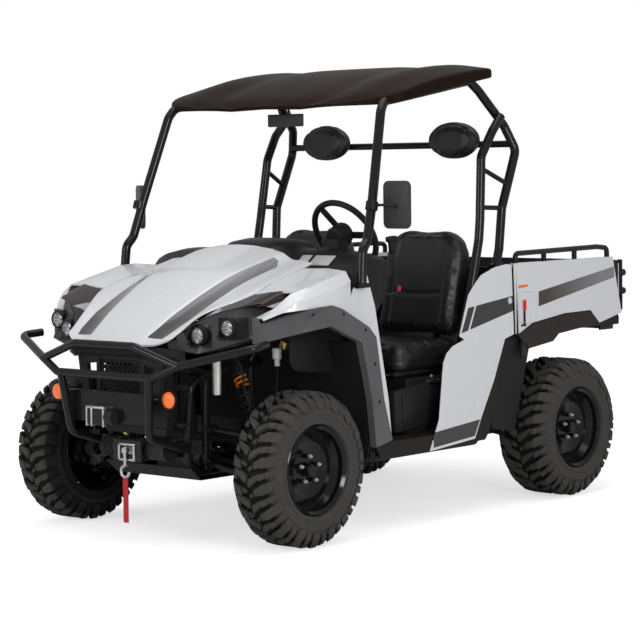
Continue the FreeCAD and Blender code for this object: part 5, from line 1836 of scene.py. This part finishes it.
@dataclass(frozen=True)
class Dashboard:
    """Dashboard with a cowl, an instrument hood, a glove box and switches."""

    gaze: Point = (0.97, 0.0, -0.24)

    def build(self) -> None:
        """Make the dashboard and what sits in it."""
        rows = []
        for y, lift in ((0.0, 0.006), (0.12, 0.004), (0.175, -0.012), (0.215, -0.048), (0.30, -0.056),
                        (0.46, -0.060), (0.57, -0.076), (0.638, -0.112)):
            rows.append([(0.576, y, 1.130), (0.558, y, 1.196 + lift * 0.75), (0.530, y, 1.236 + lift * 1.1),
                         (0.470, y, 1.262 + lift * 0.8), (0.380, y, 1.272 + lift * 0.75),
                         (0.302, y, 1.262 + lift * 0.8), (0.284, y, 1.238 + lift),
                         (0.270, y, 1.195 + lift * 0.5), (0.296, y, 1.105), (0.340, y, 1.010),
                         (0.445, y, 0.892), (0.500, y, 0.892), (0.520, y, 1.000)])
        rows = flow(rows, 3)
        other_side = [[(x, -y, z) for x, y, z in row] for row in reversed(rows[1:])]
        form = Form()
        form.skin(other_side + rows)
        soften(form.mesh, 0.004, 1.1)
        form.piece("dash_shell", Finish.DASH_PLASTIC, "chassis", ("dashboard",), 38)
        self.details()

    def details(self) -> None:
        """Make the instrument hood, gauge, glove box, vents and switches."""
        hood = Form()
        hood.lathe([(0.0, 0.040), (0.0, 0.050), (0.010, 0.054), (0.075, 0.046), (0.085, 0.036), (0.085, 0.0),
                    (0.070, 0.0), (0.014, 0.038)], (0.266, 0.350, 1.296), self.gaze, 48, closed=True)
        hood.box((0.290, 0.300, 1.185), (0.380, 0.400, 1.275), 0.016, segments=3)
        hood.box((0.259, -0.52, 1.075), (0.300, -0.18, 1.205), 0.008, Matrix.Rotation(0.12, 3, "Y"))
        hood.box((0.262, -0.12, 1.090), (0.292, 0.14, 1.215), 0.010, Matrix.Rotation(0.12, 3, "Y"))
        hood.piece("dash_parts", Finish.BLACK_PLASTIC, "chassis", sharp=30)
        dial = Form()
        dial.lathe([(0.0, 0.0), (0.0, 0.039), (0.004, 0.039), (0.004, 0.0)], (0.281, 0.350, 1.2925),
                   self.gaze, 40)
        dial.piece("gauge_face", Finish.DIAL, "chassis")
        keys = Form()
        for index in range(5):
            y = -0.095 + index * 0.045
            keys.box((0.252, y - 0.014, 1.158), (0.268, y + 0.014, 1.190), 0.003,
                     Matrix.Rotation(0.12, 3, "Y"))
        keys.box((0.248, -0.365, 1.160), (0.262, -0.335, 1.178), 0.003)
        keys.piece("dash_switches", Finish.SATIN_GREY, "chassis")
        grab = Form()
        grab.sweep(spline([(0.300, -0.50, 1.205), (0.290, -0.48, 1.212), (0.280, -0.44, 1.214),
                           (0.280, -0.28, 1.214), (0.290, -0.24, 1.212),
                           (0.310, -0.22, 1.205)], 6), 0.009, 14)
        grab.piece("grab_bar", Finish.BLACK_TUBE, "chassis")
        plate = Form()
        for low in (0.235, 0.372):
            plate.box((0.478, low, 1.1845), (0.548, low + 0.118, 1.1865), 0.0008,
                      Matrix.Rotation(0.62, 3, "Y"))
        plate.piece("blank_plates", Finish.LABEL_PLATE, "chassis")
        pedals = Form()
        for y, low in ((0.24, 0.46), (0.42, 0.50)):
            pedals.box((0.412, y - 0.030, low), (0.424, y + 0.030, low + 0.090), 0.004,
                       Matrix.Rotation(-0.35, 3, "Y"))
            pedals.rod((0.420, y, low + 0.07), (0.470, y, low + 0.30), 0.007)
        pedals.piece("pedals", Finish.DARK_STEEL, "chassis")


@dataclass(frozen=True)
class Mirrors:
    """Door mirrors, the right one folded, and the interior mirror."""

    corner: float = 0.026

    def build(self) -> None:
        """Make the arms, heads and glasses."""
        arms = Form()
        heads = Form()
        glass = Form()
        for side in (1, -1):
            arms.rod((0.517, side * 0.7205, 1.408), (0.507, side * 0.7185, 1.444), 0.0275, steps=32,
                     bevel=0.002)
        for path in (
            [(0.512, 0.738, 1.428), (0.512, 0.790, 1.430), (0.507, 0.826, 1.428), (0.490, 0.832, 1.418)],
            [(0.512, -0.738, 1.428), (0.500, -0.762, 1.429), (0.474, -0.776, 1.428), (0.447, -0.782, 1.420)],
        ):
            arms.sweep(spline(path, 5), 0.006, 12)
        self.head(heads, glass, (0.474, 0.830, 1.430), 0.0)
        self.head(heads, glass, (0.433, -0.790, 1.416), math.radians(-34))
        heads.box((0.258, -0.109, 1.781), (0.270, 0.109, 1.839), 0.006, segments=3)
        glass.box((0.2565, -0.102, 1.787), (0.259, 0.102, 1.833), 0.001)
        for y in (-0.03, 0.03):
            arms.rod((0.266, y, 1.834), (0.279, y, 1.866), 0.0055, steps=14)
            arms.rod((0.286, y - 0.012, 1.887), (0.286, y + 0.012, 1.887), 0.0255, steps=32, bevel=0.002)
        arms.piece("mirror_arms", Finish.BLACK_TUBE, "chassis")
        heads.piece("mirror_heads", Finish.MIRROR_BACK, "chassis", ("mirrors",))
        glass.piece("mirror_glass", Finish.CHROME, "chassis")

    def head(self, heads: Form, glass: Form, centre: Point, turn: float) -> None:
        """Add one rounded head with its glass to the rear.

        Args:
            heads: Form of the heads.
            glass: Form of the glasses.
            centre: The head's centre.
            turn: Its turn about the vertical.
        """
        for form, outset, wide, tall, thick, bevel in ((heads, 0.0, 0.144, 0.206, 0.022, 0.0060),
                                                       (glass, -0.0113, 0.128, 0.190, 0.002, 0.00054)):
            part = Form()
            corners = []
            for sign_y, sign_z in ((1, 1), (-1, 1), (-1, -1), (1, -1)):
                for step in range(7):
                    angle = math.atan2(sign_z, sign_y) - math.pi / 4 + math.pi / 2 * step / 6
                    corners.append((sign_y * (wide / 2 - self.corner) + self.corner * math.cos(angle),
                                    sign_z * (tall / 2 - self.corner) + self.corner * math.sin(angle)))
            part.plate(corners, "YZ", -thick / 2 + outset, thick / 2 + outset, bevel)
            form.take(part.mesh, Matrix.Translation(centre) @ Matrix.Rotation(turn, 4, "Z"))


@dataclass(frozen=True)
class Markers:
    """Round indicators in dark rings."""

    def build(self) -> None:
        """Make the marker lamps."""
        rings, lenses = Form(), Form()
        for side in (1, -1):
            centre = (1.360, side * 0.340, 0.638)
            rings.lathe([(0.0, 0.0), (0.0, 0.028), (0.010, 0.038), (0.027, 0.042), (0.029, 0.040),
                         (0.024, 0.036), (0.024, 0.0)], centre, AHEAD, 48)
            lenses.lathe([(0.022, 0.0), (0.022, 0.0355), (0.031, 0.034), (0.037, 0.025), (0.0395, 0.012),
                          (0.040, 0.0)], centre, AHEAD, 48)
        rings.piece("indicator_rings", Finish.BLACK_PLASTIC, "chassis", ("indicators",))
        lenses.piece("indicator_lenses", Finish.AMBER_LENS, "chassis", sharp=60)


@dataclass(frozen=True)
class TailLamps:
    """Round tail lamps in dark collars on their posts."""

    face: float = -1.371
    across: float = 0.7085
    heights: tuple[float, ...] = (0.962, 1.052)

    def build(self) -> None:
        """Make the lamps of both sides."""
        posts, lenses = Form(), Form()
        posts.box((-1.3985, 0.6985, 0.868), (-1.3855, 0.7265, 1.118), 0.004)
        for z in self.heights:
            centre = (self.face, self.across, z)
            posts.lathe([(0.0, 0.010), (0.0, 0.0165), (0.050, 0.0175), (0.058, 0.0168), (0.058, 0.0140),
                         (0.012, 0.0125)], centre, (-1, 0, 0), 40, closed=True)
            lenses.lathe([(0.012, 0.0), (0.012, 0.0120), (0.056, 0.0135), (0.0605, 0.009), (0.062, 0.0)],
                         centre, (-1, 0, 0), 36)
        for form in (posts, lenses):
            form.both()
        posts.piece("tail_lamp_posts", Finish.BLACK_PLASTIC, "bed", ("tail_lamps",))
        lenses.piece("tail_lamp_lenses", Finish.RED_LENS, "bed")


@dataclass(frozen=True)
class BedFittings:
    """Pocket rim, latch lever, reflector strip, strut and bracket on each bed side."""

    face: float = 0.728

    def build(self) -> None:
        """Make the fittings of both sides."""
        y = self.face
        rim = Form()
        corners = [(-0.528, 0.985), (-0.540, 0.998), (-0.640, 0.996), (-0.668, 0.975), (-0.678, 0.935),
                   (-0.668, 0.880), (-0.640, 0.852), (-0.560, 0.856), (-0.534, 0.868)]
        path = [(x, y, z) for x, z in spline(corners + corners[:1], 4)]
        rim.sweep(path, 0.0028, 8)
        rim.both()
        rim.piece("pocket_rims", Finish.WHITE_PLASTIC, "bed", sharp=70)
        edge = Form()
        edge.plate([(-0.5135, 0.806), (-0.5115, 0.806), (-0.4975, 1.128), (-0.5015, 1.134),
                    (-0.5135, 1.1348)], "XZ", 0.723, y)
        grip, rod, strip, dark = Form(), Form(), Form(), Form()
        grip.box((-0.581, y + 0.002, 0.912), (-0.563, y + 0.011, 0.962), 0.004, segments=3)
        rod.box((-0.576, y, 0.842), (-0.568, y + 0.008, 0.914), 0.002)
        rod.box((-0.588, y - 0.002, 0.838), (-0.548, y + 0.004, 0.847), 0.002)
        strip.box((-0.602, y - 0.001, 1.020), (-0.530, y + 0.0012, 1.032), 0.0005,
                  Matrix.Rotation(0.05, 3, "Y"))
        dark.box((-0.594, y - 0.010, 0.692), (-0.553, y, 0.806), 0.004)
        dark.box((-1.335, 0.700, 0.778), (-1.222, 0.712, 0.815), 0.003)
        dark.rod((-1.278, 0.710, 0.796), (-1.278, 0.716, 0.796), 0.007, steps=6)
        mirrored("bed", (edge, "bed_edges_front", Finish.WHITE_BODY),
                 (grip, "latch_grips", Finish.RED_PLASTIC), (rod, "latch_rods", Finish.BLACK_TUBE),
                 (strip, "side_strips", Finish.ORANGE_STRIP), (dark, "bed_struts", Finish.DARK_STEEL))


@dataclass(frozen=True)
class CabFittings:
    """Covers and slides under the seats, the hand lever and a plug in each side."""

    def build(self) -> None:
        """Make the fittings."""
        self.covers()
        lever = Form()
        lever.sweep(spline([(0.340, 0.578, 1.030), (0.260, 0.578, 1.028), (0.198, 0.578, 1.026),
                            (0.178, 0.578, 1.042), (0.186, 0.578, 1.120),
                            (0.206, 0.578, 1.236)], 6), 0.0055, 12)
        lever.piece("hand_lever", Finish.DARK_STEEL, "chassis")
        knob = Form()
        knob.box((0.192, 0.564, 1.206), (0.224, 0.592, 1.270), 0.010, Matrix.Rotation(0.16, 3, "Y"), 3)
        knob.box((0.184, 0.558, 1.258), (0.236, 0.598, 1.284), 0.009, Matrix.Rotation(0.10, 3, "Y"), 3)
        knob.piece("lever_knob", Finish.BLACK_PLASTIC, "chassis")
        catch = Form()
        catch.box((0.156, 0.570, 1.036), (0.174, 0.586, 1.060), 0.004)
        catch.rod((0.165, 0.578, 1.044), (0.180, 0.578, 1.044), 0.004)
        catch.piece("lever_catch", Finish.RED_PLASTIC, "chassis")
        plugs = Form()
        for side in (1, -1):
            plugs.rod((-0.474, side * 0.718, 0.963), (-0.474, side * 0.7235, 0.963), 0.0150, steps=32,
                      bevel=0.0015)
        plugs.piece("side_plugs", Finish.WHITE_PLASTIC, "chassis")

    def covers(self) -> None:
        """Make the covers below the seats and the slides above them."""
        cover, slides, bolts = Form(), Form(), Form()
        cover.plate([(0.232, 0.590), (0.222, 0.400), (-0.080, 0.426), (-0.083, 0.581), (-0.010, 0.615)], "XZ",
                    0.560, 0.600, 0.010)
        cover.plate([(0.182, 0.566), (0.176, 0.440), (-0.060, 0.458), (-0.062, 0.566), (-0.008, 0.586)], "XZ",
                    0.590, 0.6055, 0.006)
        for y in (0.150, 0.540):
            slides.box((-0.260, y - 0.012, 0.6500), (0.170, y + 0.012, 0.6680), 0.003)
        slides.sweep(spline([(0.150, 0.16, 0.660), (0.206, 0.19, 0.656), (0.214, 0.35, 0.654),
                             (0.206, 0.50, 0.656), (0.150, 0.53, 0.660)], 5), 0.005, 10)
        for x in (-0.200, -0.120, -0.040):
            bolts.rod((x, 0.588, 0.640), (x, 0.602, 0.640), 0.010, steps=6, bevel=0.001)
            bolts.rod((x, 0.600, 0.640), (x, 0.608, 0.640), 0.005, steps=14)
        bolts.box((-0.230, 0.588, 0.612), (-0.010, 0.596, 0.626), 0.002)
        mirrored("chassis", (cover, "seat_covers", Finish.NOSE_PLASTIC),
                 (slides, "seat_slides", Finish.DARK_STEEL), (bolts, "seat_bolts", Finish.ZINC))


@dataclass(frozen=True)
class ArchFittings:
    """Screws on each flare and the flap in the wheel arch."""

    screws: tuple[Flat, ...] = (
        (0.944, 0.983), (0.750, 0.973), (0.608, 0.897), (0.549, 0.747), (0.522, 0.581),
    )

    def build(self) -> None:
        """Make the fittings of both sides."""
        heads, flap = Form(), Form()
        for x, z in self.screws:
            heads.lathe([(0.0, 0.0), (0.0, 0.0075), (0.002, 0.0070), (0.003, 0.004), (0.0018, 0.003),
                         (0.0018, 0.0)], (x, 0.7575, z), OUTWARD, 20)
        for x, z in ((0.427, 0.826), (0.420, 0.700)):
            heads.lathe([(0.0, 0.0), (0.0, 0.0075), (0.002, 0.0070), (0.003, 0.0)],
                        (x, 0.5605, z), OUTWARD, 20)
        flap.plate([(0.878, 0.900), (0.581, 0.905), (0.450, 0.835), (0.420, 0.800), (0.400, 0.680),
                    (0.800, 0.722), (0.850, 0.735), (0.876, 0.765)], "XZ", 0.556, 0.5605, 0.001)
        mirrored("chassis", (heads, "panel_screws", Finish.BLACK_PLASTIC),
                 (flap, "arch_flaps", Finish.BLACK_PLASTIC))


@dataclass(frozen=True)
class EngineBayFittings:
    """Canister, brake reservoir, hoses and the winch's box and fairlead."""

    def build(self) -> None:
        """Make the fittings."""
        silver, white, gold, black = Form(), Form(), Form(), Form()
        silver.rod((1.200, 0.441, 0.650), (1.200, 0.441, 0.800), 0.019, steps=32, bevel=0.003)
        silver.rod((1.200, 0.441, 0.796), (1.200, 0.441, 0.812), 0.010, steps=24)
        white.rod((0.836, 0.450, 0.775), (0.836, 0.450, 0.822), 0.021, steps=32, bevel=0.003)
        white.rod((0.836, 0.450, 0.745), (0.836, 0.450, 0.776), 0.012, steps=24)
        gold.rod((0.790, 0.450, 0.818), (0.790, 0.462, 0.850), 0.024, steps=32, bevel=0.004)
        for points in (
            [(1.200, 0.441, 0.810), (1.150, 0.450, 0.822), (1.080, 0.460, 0.770), (1.060, 0.465, 0.680)],
            [(0.836, 0.450, 0.745), (0.860, 0.470, 0.690), (0.900, 0.500, 0.600), (0.930, 0.560, 0.480),
             (0.940, 0.575, 0.420)],
        ):
            black.sweep(spline(points, 6), 0.0045, 10)
        for form, name, finish in ((silver, "canisters", Finish.ZINC),
                                   (white, "reservoirs", Finish.WHITE_PLASTIC),
                                   (gold, "filler_caps", Finish.GOLD_ZINC),
                                   (black, "bay_hoses", Finish.BLACK_PLASTIC)):
            form.piece(name, finish, "chassis")
        self.winch()

    def winch(self) -> None:
        """Make the winch's switch box and its fairlead."""
        box, bars = Form(), Form()
        box.box((1.3855, -0.118, 0.512), (1.424, -0.010, 0.584), 0.006, segments=3)
        box.rod((1.404, -0.012, 0.548), (1.404, 0.034, 0.548), 0.034, steps=6, bevel=0.004)
        for y in (-0.122, -0.092, -0.020):
            bars.box((1.3855, y, 0.506), (1.430, y + 0.009, 0.592), 0.002)
        bars.box((1.3855, -0.122, 0.583), (1.430, -0.012, 0.593), 0.002)
        for y in (-0.050, 0.040):
            bars.box((1.300, y, 0.352), (1.3085, y + 0.010, 0.424), 0.002)
            bars.rod((1.3085, y + 0.005, 0.358), (1.3085, y + 0.005, 0.418), 0.0065, steps=20)
        for z in (0.350, 0.416):
            bars.box((1.300, -0.050, z), (1.3085, 0.050, z + 0.010), 0.002)
        box.piece("switch_box", Finish.NOSE_PLASTIC, "chassis")
        bars.piece("fairlead", Finish.ZINC, "chassis")


# Studio


@dataclass
class StudioCamera:
    """Camera at eye height, ahead of the vehicle and to its left."""

    azimuth: float = 41.4758
    elevation: float = 3.9328
    roll: float = -0.7988
    distance: float = 12.8717
    target: Point = (-1.631, -1.4817, 0.7255)
    focal_pixels: float = 2267.7
    picture_pixels: float = 640
    sensor: float = 36

    def build(self) -> None:
        """Make the camera and look through it."""
        turn, lift, tilt = (math.radians(angle) for angle in (self.azimuth, self.elevation, self.roll))
        back = Vector((math.cos(turn) * math.cos(lift), math.sin(turn) * math.cos(lift), math.sin(lift)))
        level = (-back).cross(Vector((0, 0, 1))).normalized()
        upward = level.cross(-back)
        right = math.cos(tilt) * level + math.sin(tilt) * upward
        top = -math.sin(tilt) * level + math.cos(tilt) * upward
        data = bpy.data.cameras.new("studio_camera")
        data.lens = self.focal_pixels / self.picture_pixels * self.sensor
        data.sensor_width = self.sensor
        data.clip_end = 100
        camera = bpy.data.objects.new("studio_camera", data)
        turned = Matrix((right, top, back)).transposed()
        camera.matrix_world = Matrix.Translation(Vector(self.target) + self.distance * back) @ turned.to_4x4()
        bpy.context.collection.objects.link(camera)
        bpy.context.scene.camera = camera


@dataclass
class Studio:
    """White floor, soft lamps and a pale world."""

    floor_half: float = 30.0
    ambient: float = 0.5
    floor_tone: float = 0.75
    floor_glow: float = 0.63
    lamps: tuple[tuple[str, Point, Point, float, float], ...] = (
        ("top_lamp", (0.5, 0.5, 5.2), (0.0, 0.0, 0.8), 4.0, 86),
        ("key_lamp", (3.6, 7.2, 2.7), (0.0, 0.3, 0.8), 1.8, 172),
        ("nose_lamp", (7.0, -1.5, 2.6), (0.9, 0.0, 0.8), 1.8, 80),
    )

    def build(self) -> None:
        """Make the floor, the lamps and the world."""
        self.floor()
        for lamp in self.lamps:
            self.lamp(*lamp)
        self.world()

    def floor(self) -> None:
        """Make the floor, white to the camera and with the vehicle's shadow."""
        mesh = bmesh.new()
        bmesh.ops.create_grid(mesh, x_segments=1, y_segments=1, size=self.floor_half)
        bmesh.ops.translate(mesh, vec=(0, 0, -0.0005), verts=mesh.verts)
        data = bpy.data.meshes.new("studio_floor")
        mesh.to_mesh(data)
        mesh.free()
        floor = bpy.data.objects.new("studio_floor", data)
        bpy.context.collection.objects.link(floor)
        graph = Graph("studio_floor")
        rays = self.seen(graph)
        plain = graph.node("ShaderNodeBsdfDiffuse", {}, {"Color": (0.8, 0.8, 0.8)})
        shade = graph.node("ShaderNodeBsdfDiffuse", {}, {"Color": (self.floor_tone,) * 3})
        glow = graph.node("ShaderNodeEmission", {}, {"Color": (1.0, 1.0, 1.0), "Strength": self.floor_glow})
        white = graph.node("ShaderNodeAddShader", {}, {0: shade.outputs[0], 1: glow.outputs[0]})
        mixed = graph.node("ShaderNodeMixShader", {}, {0: rays, 1: plain.outputs[0], 2: white.outputs[0]})
        graph.feed(graph.output.inputs["Surface"], mixed.outputs[0])
        floor.data.materials.append(graph.material)

    def seen(self, graph: Graph) -> Signal:
        """Pick out the rays that show the background.

        Args:
            graph: The floor's nodes.

        Returns:
            1 for those rays, 0 for the others.
        """
        path = graph.node("ShaderNodeLightPath")
        camera = Signal(graph, path.outputs["Is Camera Ray"])
        return camera.larger(Signal(graph, path.outputs["Is Transmission Ray"]))

    def lamp(self, name: str, place: Point, aim: Point, size: float, power: float) -> None:
        """Make one square soft lamp.

        Args:
            name: Its name.
            place: Where it hangs.
            aim: What it faces.
            size: Its width.
            power: Its power in watts.
        """
        data = bpy.data.lights.new(name, "AREA")
        data.size = size
        data.energy = power
        lamp = bpy.data.objects.new(name, data)
        facing = (Vector(aim) - Vector(place)).to_track_quat("-Z", "Y")
        lamp.matrix_world = Matrix.Translation(place) @ facing.to_matrix().to_4x4()
        bpy.context.collection.objects.link(lamp)

    def world(self) -> None:
        """Make the world: white where it is seen, softer as light."""
        world = bpy.data.worlds.new("studio_world")
        world.use_nodes = True
        tree = world.node_tree
        tree.nodes.clear()
        output = tree.nodes.new("ShaderNodeOutputWorld")
        path = tree.nodes.new("ShaderNodeLightPath")
        seen = tree.nodes.new("ShaderNodeMath")
        seen.operation = "MAXIMUM"
        tree.links.new(path.outputs["Is Camera Ray"], seen.inputs[0])
        tree.links.new(path.outputs["Is Transmission Ray"], seen.inputs[1])
        mixed = tree.nodes.new("ShaderNodeMixShader")
        tree.links.new(seen.outputs[0], mixed.inputs[0])
        for place, strength in ((1, self.ambient), (2, 1.0)):
            sky = tree.nodes.new("ShaderNodeBackground")
            sky.inputs["Color"].default_value = (1, 1, 1, 1)
            sky.inputs["Strength"].default_value = strength
            tree.links.new(sky.outputs[0], mixed.inputs[place])
        tree.links.new(mixed.outputs[0], output.inputs["Surface"])
        bpy.context.scene.world = world


def main() -> None:
    """Build every piece and set the scene."""
    bpy.context.scene.view_settings.view_transform = "Standard"
    StudioCamera().build()
    Studio().build()
    for finish, nodes in DRESS.items():
        for node in nodes.split():
            dress(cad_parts[node], finish.built)
    Wheels().build()
    CoilOver("front", (0.898, 0.2673, 0.730), (0.898, 0.470, 0.303)).build()
    CoilOver("rear", (-0.886, 0.2673, 0.660), (-0.886, 0.440, 0.303)).build()
    HalfShafts().build()
    SoftGoods().build()
    LampGlass().build()
    WinchGear().build()
    Bonnet().build()
    RoofShell().build()
    Dashboard().build()
    Mirrors().build()
    Markers().build()
    TailLamps().build()
    BedFittings().build()
    CabFittings().build()
    ArchFittings().build()
    EngineBayFittings().build()
    panels = (
        Drawn("fenders", "fender_skins", Finish.WHITE_BODY),
        Drawn("arch_trims", "arch_flares", Finish.GREY_TRIM),
        Narrowed("headlamps", "lamp_housings", Finish.LAMP_HOUSING),
        Narrowed("lamp_brows", "brow_skins", Finish.BROW, start=0.60, keep=0.4),
        Reshaped("quarter_panels", "quarter_skins", Finish.QUARTER),
        Reshaped("bed_sides", "bed_skins", Finish.BED_SIDE, "bed"),
        Reshaped("bed_trims", "bed_edges", Finish.BROWN_TRIM, "bed"),
        Reshaped("sills", "sill_covers", Finish.SILL_PLASTIC),
        Reshaped("splash_panels", "splash_skins", Finish.BLACK_PLASTIC),
        Reshaped("seat_base", "seat_box", Finish.BLACK_PLASTIC, bevel=0.008),
        Reshaped("nose", "nose_frame", Finish.NOSE_PLASTIC, bevel=0.003),
    )
    for panel in panels:
        panel.build()


if __name__ == "__main__":
    main()
